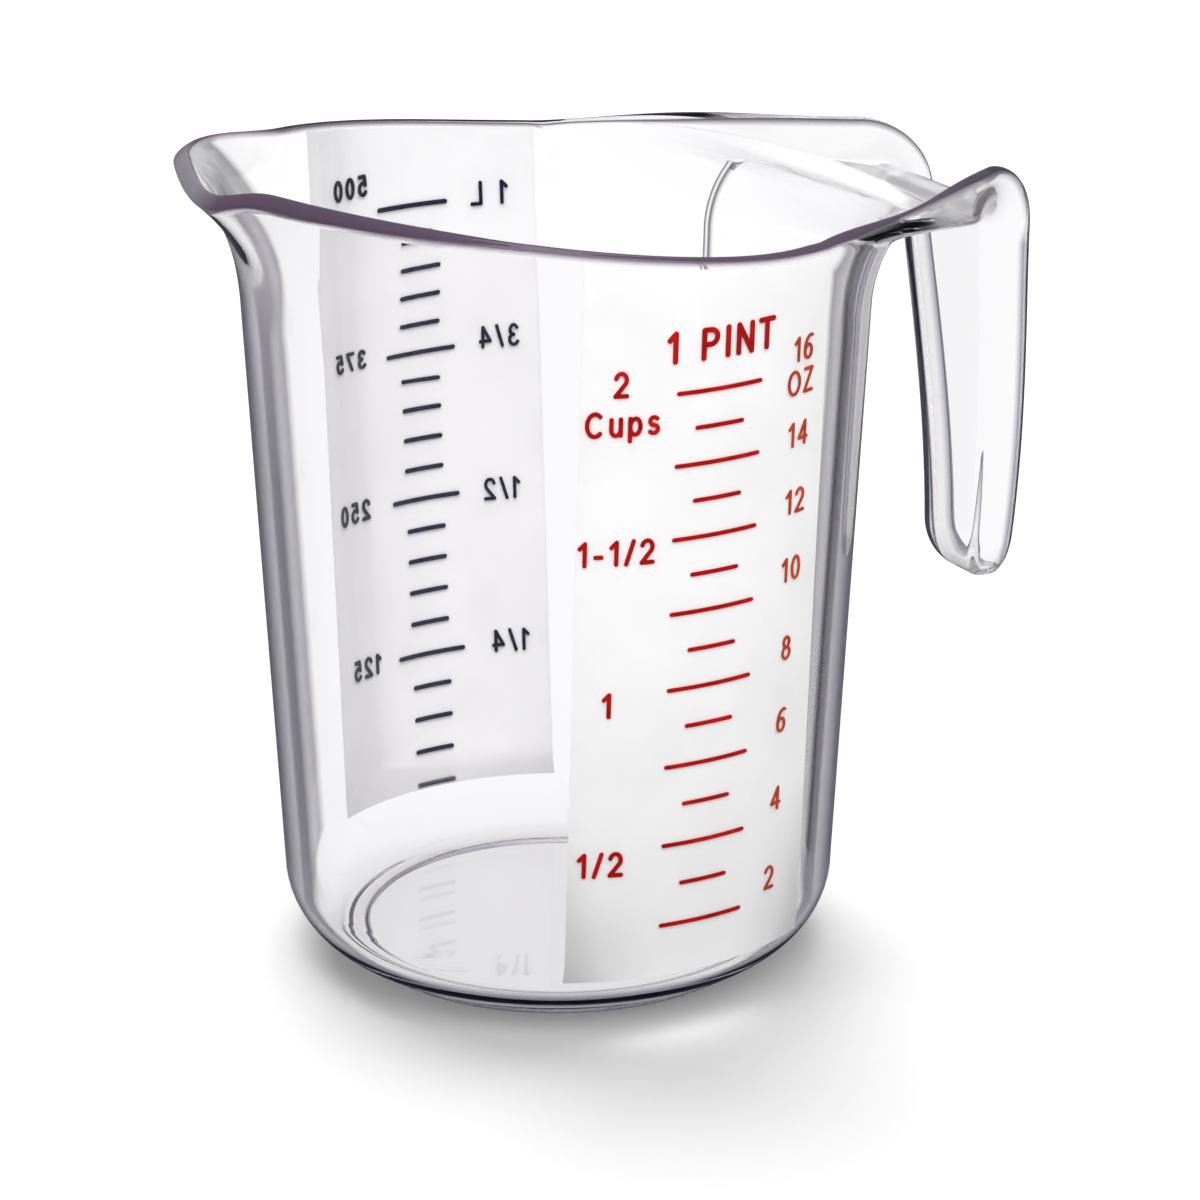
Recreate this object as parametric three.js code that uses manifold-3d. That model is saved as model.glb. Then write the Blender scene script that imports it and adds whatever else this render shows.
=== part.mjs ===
import * as THREE from 'three';
import { mergeVertices } from 'three/addons/utils/BufferGeometryUtils.js';
import Module from 'manifold-3d';

// Clear moulded measuring jug, in millimetres, +Z up.
// The cup's axis is vertical, the handle points along +X and the spout along -X.
// Angles round the cup are measured from the handle.

// Cup wall
const RIM_RADIUS = 45.8;
const SHOULDER_HEIGHT = 112.3;
const WALL_TAPER = 0.052;
const WALL = 2.25;
const RIM_THICKNESS = 2.5;
const RIM_ROUND = 0.9;

// Rim line: level at the handle, rising towards the spout
const RIM_RISE = 0.15;
const RISE_START = 8;
const RISE_BLEND = 8;

// Base
const FOOT_INNER = 29;
const FOOT_OUTER = 31.6;
const FOOT_STEP = 0.8;
const FOOT_RECESS = 1.1;
const FOOT_DRAFT = 0.5;
const OUTER_CORNER = 12;
const INNER_CORNER = 8;
const FLOOR = 2.5;

// Spout
const SPOUT_FLARE = 9.4;
const SPOUT_SPREAD = 56;
const SPOUT_FULLNESS = 1.9;
const SPOUT_POWER = 1.35;
const FLARE_POWER = 2.4;
const LIP_DIP = 3;
const LIP_DIP_SPREAD = 16;

// Handle: the wall rolls over from the shoulders into a hanging channel
const SHOULDER_ANGLE = 65;
const HANDLE_REACH = 72.5;
const HANDLE_DROP = 0.8;
const BEND_RADIUS = 9.5;
const CHANNEL_DEPTH = 6.6;
const CHANNEL_POWER = 5;
const CLIMB_SHARE = 0.36;
const ROOT_RADIUS = 7;
const NECK_HALF_WIDTH = 13.9;
const NECK_TAPER = 0.115;
const SHOULDER_PULL = 36;
const NECK_PULL = 14;
const TIP_HEIGHT = 43.6;
const TIP_HALF_WIDTH = 1.6;
const TIP_LENGTH = 8;
const TIP_DEPTH = 0.3;
const TIP_POWER = 3;
const HANDLE_LEAN = 2.2;

// Stacking ribs inside the wall
const RIB_ANGLE = 28;
const RIB_WIDTH = 1.4;
const RIB_HEIGHT = 0.8;
const RIB_ROOT = 0.9;

// Scale panels and graduation marks, each a thin layer on the one under it
const LAYER_GAP = 0.15;
const PANEL_THICKNESS = 0.2;
const FRONT_PANEL_ANGLE = -90;
const REAR_PANEL_ANGLE = 90;
const FRONT_PANEL_HALF_WIDTH = 20;
const REAR_PANEL_HALF_WIDTH = 20;
const PANEL_BOTTOM = 9;
const PANEL_RIM_GAP = 0.2;
const MARK_THICKNESS = 0.2;
const MARK_WIDTH = 0.6;
const FRONT_LONG_MARK = 13.4;
const FRONT_SHORT_MARK = 7.6;
const REAR_LONG_MARK = 12.2;
const REAR_SHORT_MARK = 7;
const FRONT_FULL_SHARE = 0.8378;
const FRONT_FIRST_OUNCE = 2;
const FRONT_LAST_OUNCE = 16;
const OUNCES_PER_LONG = 2;
const REAR_FULL_SHARE = 0.8853;
const REAR_LAST_MILLILITRE = 500;
const MILLILITRES_PER_STEP = 25;
const MILLILITRES_PER_LONG = 125;

// Facets
const SECTOR_COLUMNS = 20;
const REST_COLUMNS = 46;
const CORNER_ROWS = 6;
const WALL_ROWS = 5;
const FLARE_ROWS = 8;
const SHOULDER_ROWS = 10;
const BEND_ROWS = 7;
const DROP_ROWS = 7;
const TIP_ROWS = 6;
const RIB_ROWS = 14;
const PANEL_COLUMNS = 14;
const PANEL_CORNER_ROWS = 4;
const PANEL_WALL_ROWS = 6;
const MARK_COLUMNS = 4;
const VOLUME_STEP = 0.05;
const HALVINGS = 40;
const WELD = 1e-4;

const { degToRad, lerp, smoothstep } = THREE.MathUtils;
const wasm = await Module();
wasm.setup();

// Sizes that follow from the driving ones
const shoulder = degToRad(SHOULDER_ANGLE);
const handleTop = SHOULDER_HEIGHT - HANDLE_DROP;
const channelTop = handleTop - CHANNEL_DEPTH;
const flareHeight = channelTop - ROOT_RADIUS;
const floorHeight = FOOT_RECESS + FLOOR;
const cornerHeight = FOOT_STEP + OUTER_CORNER;
const filletHeight = floorHeight + INNER_CORNER;
const bendX = HANDLE_REACH - BEND_RADIUS;
const lean = degToRad(HANDLE_LEAN);

// Outside radius of the tapered wall
function wallRadius(z) {
  return RIM_RADIUS - WALL_TAPER * (SHOULDER_HEIGHT - z);
}

// Outside radius of the cup, with the rounded corner above the foot
function outsideRadius(z) {
  if (z >= cornerHeight) return wallRadius(z);
  const drop = cornerHeight - z;
  return wallRadius(cornerHeight) - OUTER_CORNER + Math.sqrt(OUTER_CORNER ** 2 - drop ** 2);
}

// Inside radius of the cup, with the fillet above the floor
function insideRadius(z) {
  if (z >= filletHeight) return wallRadius(z) - WALL;
  const drop = filletHeight - z;
  return wallRadius(filletHeight) - WALL - INNER_CORNER + Math.sqrt(INNER_CORNER ** 2 - drop ** 2);
}

// Volume of a thin slice of the cup's inside that starts at a height
function sliceVolume(z) {
  return Math.PI * insideRadius(z + VOLUME_STEP / 2) ** 2 * VOLUME_STEP;
}

// Volume of the cup up to the level part of its rim
let cupVolume = 0;
for (let z = floorHeight; z < SHOULDER_HEIGHT; z += VOLUME_STEP) cupVolume += sliceVolume(z);

// Height at which the cup is filled to a share of its volume
function fillHeight(share) {
  let held = 0;
  let z = floorHeight;
  while (held < share * cupVolume) {
    held += sliceVolume(z);
    z += VOLUME_STEP;
  }
  return z;
}

// How far the rim stands out beyond the round wall, by angle from the handle
function spoutFlare(angle) {
  const off = 180 - Math.abs(THREE.MathUtils.radToDeg(angle));
  if (off >= SPOUT_SPREAD) return 0;
  return SPOUT_FLARE * (1 - (off / SPOUT_SPREAD) ** SPOUT_FULLNESS) ** SPOUT_POWER;
}

// Rim height: a level line that bends up towards the spout and dips at the lip
function rimHeight(angle) {
  const x = (RIM_RADIUS + spoutFlare(angle)) * Math.cos(angle);
  const ahead = RISE_START - x;
  const rise = RIM_RISE * (Math.hypot(ahead, RISE_BLEND) + ahead) / 2;
  const off = 180 - Math.abs(THREE.MathUtils.radToDeg(angle));
  const dip = off < LIP_DIP_SPREAD ? LIP_DIP * (1 + Math.cos(Math.PI * off / LIP_DIP_SPREAD)) / 2 : 0;
  return SHOULDER_HEIGHT + rise - dip;
}

function polar(radius, angle, z) {
  return new THREE.Vector3(radius * Math.cos(angle), radius * Math.sin(angle), z);
}

// Outside of the wall between the flare line and the rim, share 0 to 1
function flaredWall(angle, share) {
  const z = lerp(flareHeight, rimHeight(angle), share);
  return polar(wallRadius(z) + spoutFlare(angle) * share ** FLARE_POWER, angle, z);
}

// Free edge of the handle, seen from the side, as lines and an arc
const edgeStart = flaredWall(shoulder, 1);
const levelLength = bendX - edgeStart.x;
const bendSweep = Math.PI / 2 - lean;
const bendLength = BEND_RADIUS * bendSweep;
const dropTop = new THREE.Vector2(
  bendX + BEND_RADIUS * Math.sin(bendSweep),
  handleTop - BEND_RADIUS * (1 - Math.cos(bendSweep)),
);
const dropLength = (dropTop.y - TIP_HEIGHT) / Math.cos(lean);
const neckLength = levelLength + bendLength;
const edgeLength = neckLength + dropLength;

// Point on the free edge and the direction square to it, at a distance along it
function edgeProfile(distance) {
  if (distance <= levelLength) {
    const z = lerp(edgeStart.z, handleTop, smoothstep(distance, 0, levelLength));
    return { x: edgeStart.x + distance, z, turn: 0 };
  }
  if (distance <= neckLength) {
    const turn = (distance - levelLength) / BEND_RADIUS;
    const x = bendX + BEND_RADIUS * Math.sin(turn);
    return { x, z: handleTop - BEND_RADIUS * (1 - Math.cos(turn)), turn };
  }
  const run = distance - neckLength;
  return { x: dropTop.x + run * Math.sin(lean), z: dropTop.y - run * Math.cos(lean), turn: bendSweep };
}

// Half width of the handle along its free edge: shoulders drawn in to a neck, a slow taper, a round tip
const shoulderLine = new THREE.CubicBezierCurve(
  new THREE.Vector2(0, edgeStart.y),
  new THREE.Vector2(SHOULDER_PULL, edgeStart.y - SHOULDER_PULL / Math.tan(shoulder)),
  new THREE.Vector2(neckLength - NECK_PULL, NECK_HALF_WIDTH + NECK_TAPER * NECK_PULL),
  new THREE.Vector2(neckLength, NECK_HALF_WIDTH),
);

// One along the handle, falling to nothing round its tip
function tipFullness(distance) {
  const share = Math.max(0, 1 - (edgeLength - distance) / TIP_LENGTH);
  return Math.sqrt(1 - share ** 2);
}

function handleHalfWidth(distance) {
  if (distance <= neckLength) {
    let low = 0;
    let high = 1;
    for (let step = 0; step < HALVINGS; step++) {
      const middle = (low + high) / 2;
      if (shoulderLine.getPoint(middle).x < distance) low = middle;
      else high = middle;
    }
    return shoulderLine.getPoint(low).y;
  }
  const width = NECK_HALF_WIDTH - NECK_TAPER * (distance - neckLength);
  return lerp(TIP_HALF_WIDTH, width, tipFullness(distance));
}

// Middle line of the handle's underside from the wall to the bend: a quarter round, then level
const rootArc = ROOT_RADIUS * Math.PI / 2;
const rootX = wallRadius(flareHeight);
const rootLength = rootArc + bendX - rootX - ROOT_RADIUS;

function rootLine(distance) {
  if (distance > rootArc) return { x: rootX + ROOT_RADIUS + distance - rootArc, z: channelTop };
  const turn = distance / ROOT_RADIUS;
  return {
    x: rootX + ROOT_RADIUS * (1 - Math.cos(turn)),
    z: flareHeight + ROOT_RADIUS * Math.sin(turn),
  };
}

// Rows of the handle sector: each has its free edge, its middle and how much it is a channel
const sectorRows = [];
for (let row = 0; row <= FLARE_ROWS; row++) {
  const edge = flaredWall(shoulder, row / FLARE_ROWS);
  const middle = rootLine(rootLength * CLIMB_SHARE * row / FLARE_ROWS);
  sectorRows.push({ edge, middle, channel: 0, power: CHANNEL_POWER });
}
for (let row = 1; row <= SHOULDER_ROWS; row++) {
  const share = row / SHOULDER_ROWS;
  const profile = edgeProfile(levelLength * share);
  const edge = new THREE.Vector3(profile.x, handleHalfWidth(levelLength * share), profile.z);
  const middle = rootLine(rootLength * lerp(CLIMB_SHARE, 1, share));
  sectorRows.push({ edge, middle, channel: smoothstep(share, 0, 1), power: CHANNEL_POWER });
}

function addHandleRow(distance) {
  const profile = edgeProfile(distance);
  const fullness = tipFullness(distance);
  const depth = lerp(TIP_DEPTH, CHANNEL_DEPTH, fullness);
  const power = lerp(TIP_POWER, CHANNEL_POWER, fullness);
  const edge = new THREE.Vector3(profile.x, handleHalfWidth(distance), profile.z);
  const middle = {
    x: profile.x - depth * Math.sin(profile.turn),
    z: profile.z - depth * Math.cos(profile.turn),
  };
  sectorRows.push({ edge, middle, channel: 1, power });
}
for (let row = 1; row <= BEND_ROWS; row++) addHandleRow(levelLength + bendLength * row / BEND_ROWS);
const plainDrop = dropLength - TIP_LENGTH;
for (let row = 1; row <= DROP_ROWS; row++) addHandleRow(neckLength + plainDrop * row / DROP_ROWS);
for (let row = 1; row <= TIP_ROWS; row++) {
  addHandleRow(edgeLength - TIP_LENGTH * (1 - Math.sin(Math.PI / 2 * row / TIP_ROWS)));
}

// Point across a sector row, from one free edge (-1) through the middle (0) to the other (1)
function sectorPoint(row, across) {
  const { edge, middle, channel, power } = sectorRows[row];
  const reach = Math.sin(shoulder);
  const round = (1 - Math.sqrt(1 - (across * reach) ** 2)) / (1 - Math.cos(shoulder));
  const lift = lerp(round, Math.abs(across) ** power, channel);
  return new THREE.Vector3(
    lerp(middle.x, edge.x, lift),
    edge.y * across,
    lerp(middle.z, edge.z, lift),
  );
}

// Angles of the columns: the handle sector first, then the rest of the way round
const columns = [];
for (let column = 0; column <= SECTOR_COLUMNS; column++) {
  columns.push(lerp(-shoulder, shoulder, column / SECTOR_COLUMNS));
}
for (let column = 1; column < REST_COLUMNS; column++) {
  columns.push(lerp(shoulder, 2 * Math.PI - shoulder, column / REST_COLUMNS));
}
const inSector = (column) => column <= SECTOR_COLUMNS;
const signedAngle = (angle) => (angle > Math.PI ? angle - 2 * Math.PI : angle);

function pushQuad(faces, a, b, c, d) {
  faces.push([a, b, c], [a, c, d]);
}

// Outside of the wall, spout and handle as one open sheet of points and faces
function outsideSheet() {
  const points = [];
  const faces = [];
  const rows = [];
  for (let row = 0; row <= WALL_ROWS; row++) {
    const z = lerp(cornerHeight, flareHeight, row / WALL_ROWS);
    rows.push(columns.map((angle) => points.push(polar(wallRadius(z), angle, z)) - 1));
  }
  for (let row = 1; row < sectorRows.length; row++) {
    const line = [];
    columns.forEach((angle, column) => {
      if (inSector(column)) {
        line.push(points.push(sectorPoint(row, Math.sin(angle) / Math.sin(shoulder))) - 1);
      } else if (row <= FLARE_ROWS) {
        line.push(points.push(flaredWall(signedAngle(angle), row / FLARE_ROWS)) - 1);
      }
    });
    rows.push(line);
  }
  for (let row = 0; row + 1 < rows.length; row++) {
    const whole = rows[row + 1].length === columns.length;
    const last = whole ? columns.length : SECTOR_COLUMNS;
    for (let column = 0; column < last; column++) {
      const next = (column + 1) % columns.length;
      pushQuad(faces, rows[row][column], rows[row][next], rows[row + 1][next], rows[row + 1][column]);
    }
  }
  return { points, faces, rows };
}

// Free edge of the sheet as one closed loop: round the rim, then out and back along the handle
function freeEdge(rows) {
  const rimRow = WALL_ROWS + FLARE_ROWS;
  const loop = [];
  for (let column = SECTOR_COLUMNS; column < columns.length; column++) loop.push(rows[rimRow][column]);
  for (let row = rimRow; row < rows.length; row++) loop.push(rows[row][0]);
  for (let column = 1; column < SECTOR_COLUMNS; column++) loop.push(rows[rows.length - 1][column]);
  for (let row = rows.length - 1; row > rimRow; row--) loop.push(rows[row][SECTOR_COLUMNS]);
  return loop;
}

function pointNormals(points, faces) {
  const normals = points.map(() => new THREE.Vector3());
  for (const [a, b, c] of faces) {
    const side = points[b].clone().sub(points[a]);
    const normal = side.cross(points[c].clone().sub(points[a]));
    for (const index of [a, b, c]) normals[index].add(normal);
  }
  return normals.map((normal) => normal.normalize());
}

// Join two rings of points, facing out when both run anticlockwise and the second is higher
function bridge(faces, lower, upper) {
  lower.forEach((point, column) => {
    const next = (column + 1) % lower.length;
    pushQuad(faces, point, lower[next], upper[next], upper[column]);
  });
}

function ringOf(points, radius, z) {
  return columns.map((angle) => points.push(polar(radius, angle, z)) - 1);
}

// Underside: recessed middle, standing ring and the rounded corner up to the wall
function addUnderside(points, faces, wallRing) {
  const centre = points.push(new THREE.Vector3(0, 0, FOOT_RECESS)) - 1;
  const cornerX = wallRadius(cornerHeight) - OUTER_CORNER;
  const first = Math.asin((FOOT_OUTER - cornerX) / OUTER_CORNER);
  const rings = [
    ringOf(points, FOOT_INNER - FOOT_DRAFT, FOOT_RECESS),
    ringOf(points, FOOT_INNER, 0),
    ringOf(points, FOOT_OUTER - FOOT_DRAFT, 0),
  ];
  for (let row = 0; row < CORNER_ROWS; row++) {
    const turn = lerp(first, Math.PI / 2, row / CORNER_ROWS);
    const z = cornerHeight - OUTER_CORNER * Math.cos(turn);
    rings.push(ringOf(points, cornerX + OUTER_CORNER * Math.sin(turn), z));
  }
  rings.push(wallRing);
  rings[0].forEach((point, column) => {
    faces.push([centre, rings[0][(column + 1) % columns.length], point]);
  });
  for (let row = 0; row + 1 < rings.length; row++) bridge(faces, rings[row], rings[row + 1]);
}

// Inside of the base: fillet and floor below the wall's inside ring
function addFloor(points, faces, wallRing) {
  const rings = [wallRing];
  for (let row = 0; row <= CORNER_ROWS; row++) {
    const turn = Math.PI / 2 * row / CORNER_ROWS;
    const z = filletHeight - INNER_CORNER * Math.sin(turn);
    const middle = wallRadius(filletHeight) - WALL - INNER_CORNER;
    rings.push(ringOf(points, middle + INNER_CORNER * Math.cos(turn), z));
  }
  const centre = points.push(new THREE.Vector3(0, 0, floorHeight)) - 1;
  const last = rings[rings.length - 1];
  for (let row = 0; row + 1 < rings.length; row++) bridge(faces, rings[row], rings[row + 1]);
  last.forEach((point, column) => faces.push([centre, point, last[(column + 1) % columns.length]]));
}

function toGeometry(points, faces) {
  const geometry = new THREE.BufferGeometry();
  const positions = points.flatMap((point) => [point.x, point.y, point.z]);
  geometry.setAttribute('position', new THREE.Float32BufferAttribute(positions, 3));
  geometry.setIndex(faces.flat());
  return geometry;
}

// The whole cup: the sheet, its inside a wall's thickness away, a rounded edge between them, the base
function cupGeometry() {
  const { points, faces, rows } = outsideSheet();
  const normals = pointNormals(points, faces);
  const tip = rows[rows.length - 1];
  for (const index of tip) normals[index].copy(normals[tip[SECTOR_COLUMNS / 2]]);
  const loop = freeEdge(rows);
  const onEdge = new Set(loop);
  const outsideCount = points.length;
  for (let index = 0; index < outsideCount; index++) {
    const depth = onEdge.has(index) ? RIM_THICKNESS : WALL;
    points.push(points[index].clone().addScaledVector(normals[index], -depth));
  }
  const inside = (index) => index + outsideCount;
  for (const [a, b, c] of [...faces]) faces.push([inside(a), inside(c), inside(b)]);
  const crest = loop.map((index, place) => {
    const before = points[loop[(place + loop.length - 1) % loop.length]];
    const after = points[loop[(place + 1) % loop.length]];
    const outward = after.clone().sub(before).cross(normals[index]).negate().normalize();
    const middle = points[index].clone().lerp(points[inside(index)], 0.5);
    return points.push(middle.addScaledVector(outward, RIM_ROUND)) - 1;
  });
  bridge(faces, loop, crest);
  bridge(faces, crest, loop.map(inside));
  addUnderside(points, faces, rows[0]);
  addFloor(points, faces, rows[0].map(inside));
  return toGeometry(points, faces);
}

function toSolid(geometry) {
  const bare = geometry.clone();
  bare.deleteAttribute('normal');
  bare.deleteAttribute('uv');
  const merged = mergeVertices(bare, WELD);
  return new wasm.Manifold(new wasm.Mesh({
    numProp: 3,
    vertProperties: new Float32Array(merged.attributes.position.array),
    triVerts: new Uint32Array(merged.index.array),
  }));
}

function fromSolid(solid) {
  const mesh = solid.getMesh();
  const geometry = new THREE.BufferGeometry();
  const positions = new Float32Array(mesh.vertProperties);
  geometry.setAttribute('position', new THREE.BufferAttribute(positions, 3));
  geometry.setIndex(new THREE.BufferAttribute(new Uint32Array(mesh.triVerts), 1));
  return geometry;
}

// Inside of the wall on one line up the cup, from the fillet to below the rim
function ribLine(angle) {
  const line = [];
  for (let row = 0; row <= WALL_ROWS; row++) {
    const z = lerp(filletHeight, flareHeight, row / WALL_ROWS);
    line.push(polar(insideRadius(z), angle, z));
  }
  const inward = polar(WALL, angle, 0);
  const { y } = polar(wallRadius(flareHeight), angle, flareHeight);
  for (let row = 1; row <= RIB_ROWS; row++) {
    line.push(sectorPoint(row, y / sectorRows[row].edge.y).sub(inward));
  }
  return line;
}

// A slim rib that stands on the inside of the wall and runs out to a point at its top
function ribGeometry(angle) {
  const points = [];
  const faces = [];
  const line = ribLine(angle);
  const side = polar(RIB_WIDTH / 2, angle + Math.PI / 2, 0);
  const rings = line.map((foot, row) => {
    const crest = row + 1 < line.length ? RIB_HEIGHT : -RIB_ROOT / 2;
    const root = foot.clone().add(polar(RIB_ROOT, angle, 0));
    const top = foot.clone().sub(polar(crest, angle, 0));
    return [
      points.push(root.clone().sub(side)) - 1,
      points.push(root.clone().add(side)) - 1,
      points.push(top.clone().add(side)) - 1,
      points.push(top.clone().sub(side)) - 1,
    ];
  });
  for (let row = 0; row + 1 < rings.length; row++) bridge(faces, rings[row], rings[row + 1]);
  const first = rings[0];
  const last = rings[rings.length - 1];
  pushQuad(faces, first[3], first[2], first[1], first[0]);
  pushQuad(faces, ...last);
  return toGeometry(points, faces);
}

function jugGeometry() {
  let jug = toSolid(cupGeometry());
  for (const side of [-1, 1]) jug = jug.add(toSolid(ribGeometry(side * degToRad(RIB_ANGLE))));
  return fromSolid(jug);
}

// A thin closed layer of constant width on the outside of the cup, with its row heights at each angle
function layerGeometry(middle, halfWidth, heights, offset, thickness, columnCount) {
  const points = [];
  const faces = [];
  const rowCount = heights(middle).length - 1;
  const sheets = [offset + thickness, offset].map((stand) => {
    const grid = [];
    for (let row = 0; row <= rowCount; row++) {
      const line = [];
      for (let column = 0; column <= columnCount; column++) {
        const across = lerp(-halfWidth, halfWidth, column / columnCount);
        const z = heights(middle + across / RIM_RADIUS)[row];
        const angle = middle + across / outsideRadius(z);
        line.push(points.push(polar(outsideRadius(z) + stand, angle, z)) - 1);
      }
      grid.push(line);
    }
    return grid;
  });
  const [outer, inner] = sheets;
  for (let row = 0; row < rowCount; row++) {
    const [low, high] = [outer[row], outer[row + 1]];
    const [lowIn, highIn] = [inner[row], inner[row + 1]];
    for (let column = 0; column < columnCount; column++) {
      pushQuad(faces, low[column], low[column + 1], high[column + 1], high[column]);
      pushQuad(faces, lowIn[column], highIn[column], highIn[column + 1], lowIn[column + 1]);
    }
    pushQuad(faces, lowIn[0], low[0], high[0], highIn[0]);
    pushQuad(faces, low[columnCount], lowIn[columnCount], highIn[columnCount], high[columnCount]);
  }
  const [bottom, bottomIn] = [outer[0], inner[0]];
  const [top, topIn] = [outer[rowCount], inner[rowCount]];
  for (let column = 0; column < columnCount; column++) {
    pushQuad(faces, bottomIn[column], bottomIn[column + 1], bottom[column + 1], bottom[column]);
    pushQuad(faces, top[column], top[column + 1], topIn[column + 1], topIn[column]);
  }
  return toGeometry(points, faces);
}

// Row heights of a panel: close rows round the base corner, then up the wall to just under the rim
function panelHeights(angle) {
  const heights = [];
  for (let row = 0; row < PANEL_CORNER_ROWS; row++) {
    heights.push(lerp(PANEL_BOTTOM, cornerHeight, row / PANEL_CORNER_ROWS));
  }
  const top = rimHeight(angle) - PANEL_RIM_GAP;
  for (let row = 0; row <= PANEL_WALL_ROWS; row++) {
    heights.push(lerp(cornerHeight, top, row / PANEL_WALL_ROWS));
  }
  return heights;
}

function panelGeometry(middle, halfWidth) {
  return layerGeometry(middle, halfWidth, panelHeights, LAYER_GAP, PANEL_THICKNESS, PANEL_COLUMNS);
}

// A graduation mark at the height of a share of the cup's volume
function markGeometry(middle, share, length) {
  const z = fillHeight(share);
  const heights = () => [z - MARK_WIDTH / 2, z + MARK_WIDTH / 2];
  const offset = 2 * LAYER_GAP + PANEL_THICKNESS;
  return layerGeometry(middle, length / 2, heights, offset, MARK_THICKNESS, MARK_COLUMNS);
}

const clearPlastic = new THREE.MeshStandardMaterial({ color: 0xe9e6ef, roughness: 0.06, metalness: 0 });
const panelPrint = new THREE.MeshStandardMaterial({ color: 0xececeb, roughness: 0.5, metalness: 0 });
const redInk = new THREE.MeshStandardMaterial({ color: 0xbe140a, roughness: 0.45, metalness: 0 });
const blueInk = new THREE.MeshStandardMaterial({ color: 0x141946, roughness: 0.45, metalness: 0 });

const frontAngle = degToRad(FRONT_PANEL_ANGLE);
const rearAngle = degToRad(REAR_PANEL_ANGLE);
const measuringJug = new THREE.Group();

function addPiece(name, geometry, material) {
  const mesh = new THREE.Mesh(geometry, material);
  mesh.name = name;
  measuringJug.add(mesh);
}

addPiece('moulded_jug', jugGeometry(), clearPlastic);
addPiece('front_scale_panel', panelGeometry(frontAngle, FRONT_PANEL_HALF_WIDTH), panelPrint);
addPiece('rear_scale_panel', panelGeometry(rearAngle, REAR_PANEL_HALF_WIDTH), panelPrint);

// Ounce marks on the front panel: long at the even ounces, short between them
for (let ounces = FRONT_FIRST_OUNCE; ounces <= FRONT_LAST_OUNCE; ounces++) {
  const length = ounces % OUNCES_PER_LONG === 0 ? FRONT_LONG_MARK : FRONT_SHORT_MARK;
  const share = FRONT_FULL_SHARE * ounces / FRONT_LAST_OUNCE;
  const name = `ounce_mark_${String(ounces).padStart(2, '0')}`;
  addPiece(name, markGeometry(frontAngle, share, length), redInk);
}

// Millilitre marks on the rear panel: long at the quarters of the scale, short between them
for (let held = MILLILITRES_PER_STEP; held <= REAR_LAST_MILLILITRE; held += MILLILITRES_PER_STEP) {
  const length = held % MILLILITRES_PER_LONG === 0 ? REAR_LONG_MARK : REAR_SHORT_MARK;
  const share = REAR_FULL_SHARE * held / REAR_LAST_MILLILITRE;
  const name = `millilitre_mark_${String(held).padStart(3, '0')}`;
  addPiece(name, markGeometry(rearAngle, share, length), blueInk);
}

// The origin lies under the middle of the jug's overall length, on the surface it stands on
const box = new THREE.Box3().setFromObject(measuringJug);
measuringJug.position.x = -(box.min.x + box.max.x) / 2;

export default measuringJug;
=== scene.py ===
"""Clear moulded measuring jug with printed scales, laid out as an add-on and run as a script."""

import math

import bpy
import numpy as np
from bpy.props import FloatProperty, FloatVectorProperty, PointerProperty
from mathutils import Matrix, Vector
from mathutils.kdtree import KDTree


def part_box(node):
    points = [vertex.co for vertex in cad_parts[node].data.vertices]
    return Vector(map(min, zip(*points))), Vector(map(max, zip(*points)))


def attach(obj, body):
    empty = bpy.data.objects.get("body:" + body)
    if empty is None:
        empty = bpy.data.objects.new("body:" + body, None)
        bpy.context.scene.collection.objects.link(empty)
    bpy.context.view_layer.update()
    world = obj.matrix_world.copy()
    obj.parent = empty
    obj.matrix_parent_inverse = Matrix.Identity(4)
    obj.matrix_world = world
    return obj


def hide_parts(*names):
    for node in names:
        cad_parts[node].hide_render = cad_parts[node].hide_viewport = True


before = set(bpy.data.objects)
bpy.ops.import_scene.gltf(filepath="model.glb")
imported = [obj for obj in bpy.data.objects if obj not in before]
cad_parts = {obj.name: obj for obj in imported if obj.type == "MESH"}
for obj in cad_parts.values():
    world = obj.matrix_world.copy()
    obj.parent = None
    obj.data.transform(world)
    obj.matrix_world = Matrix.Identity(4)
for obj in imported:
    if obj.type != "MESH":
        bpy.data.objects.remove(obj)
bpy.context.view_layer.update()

bl_info = {
    "name": "Measuring Jug",
    "version": (1, 0, 0),
    "blender": (4, 5, 0),
    "location": "View3D > Sidebar > Jug",
    "description": "A clear moulded jug with a red and a blue printed scale",
    "category": "Object",
}

# Sheets of the moulding, in faces
SECTOR_COLUMNS = 72
REST_COLUMNS = 120
WALL_ROWS = 24
FLARE_ROWS = 22
SHOULDER_ROWS = 30
BEND_ROWS = 16
DROP_ROWS = 16
TIP_ROWS = 14
RIM_ROWS = 8
CORNER_ROWS = 14
DISC_ROWS = 4

# Halvings that find a place on the shoulder's curve
HALVINGS = 40

# The hanging part's bow: the power of its formula, and the most that the formula comes to
BOW_POWER = 1.5
BOW_PEAK = 0.6**BOW_POWER * 0.4

# A rib in halves of its width: its columns, its edge, how soft the edge is, and its sides
RIB_COLUMNS = (-1.5, -1.1, -0.75, -0.4, 0, 0.4, 0.75, 1.1, 1.5)
RIB_EDGE = 1.1
RIB_SOFTNESS = 0.35
RIB_SIDES = (0.6, 0.9)

# The foot: where its recess ends, the ledge outside its ring and the round of its corners
RECESS_SHARE = 0.97
FOOT_LEDGE = 0.0006
FOOT_ROUND = 0.00025

# Printed layers, in faces, and the shapes of marks and letters
PANEL_COLUMNS = 48
PANEL_ROWS = 40
MARK_COLUMNS = 20
MARK_SIDES = (-1, -0.5, 0, 0.5, 1)
MARK_BLUNTNESS = 0.05
STROKE_STEP = 0.0007
STROKE_LIFT = 2e-6
ARC_FINENESS = 1.6
ROUND_END = (15, 40, 65)
LETTER_GAP = 0.1
SHARP_EDGE = 40

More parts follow.
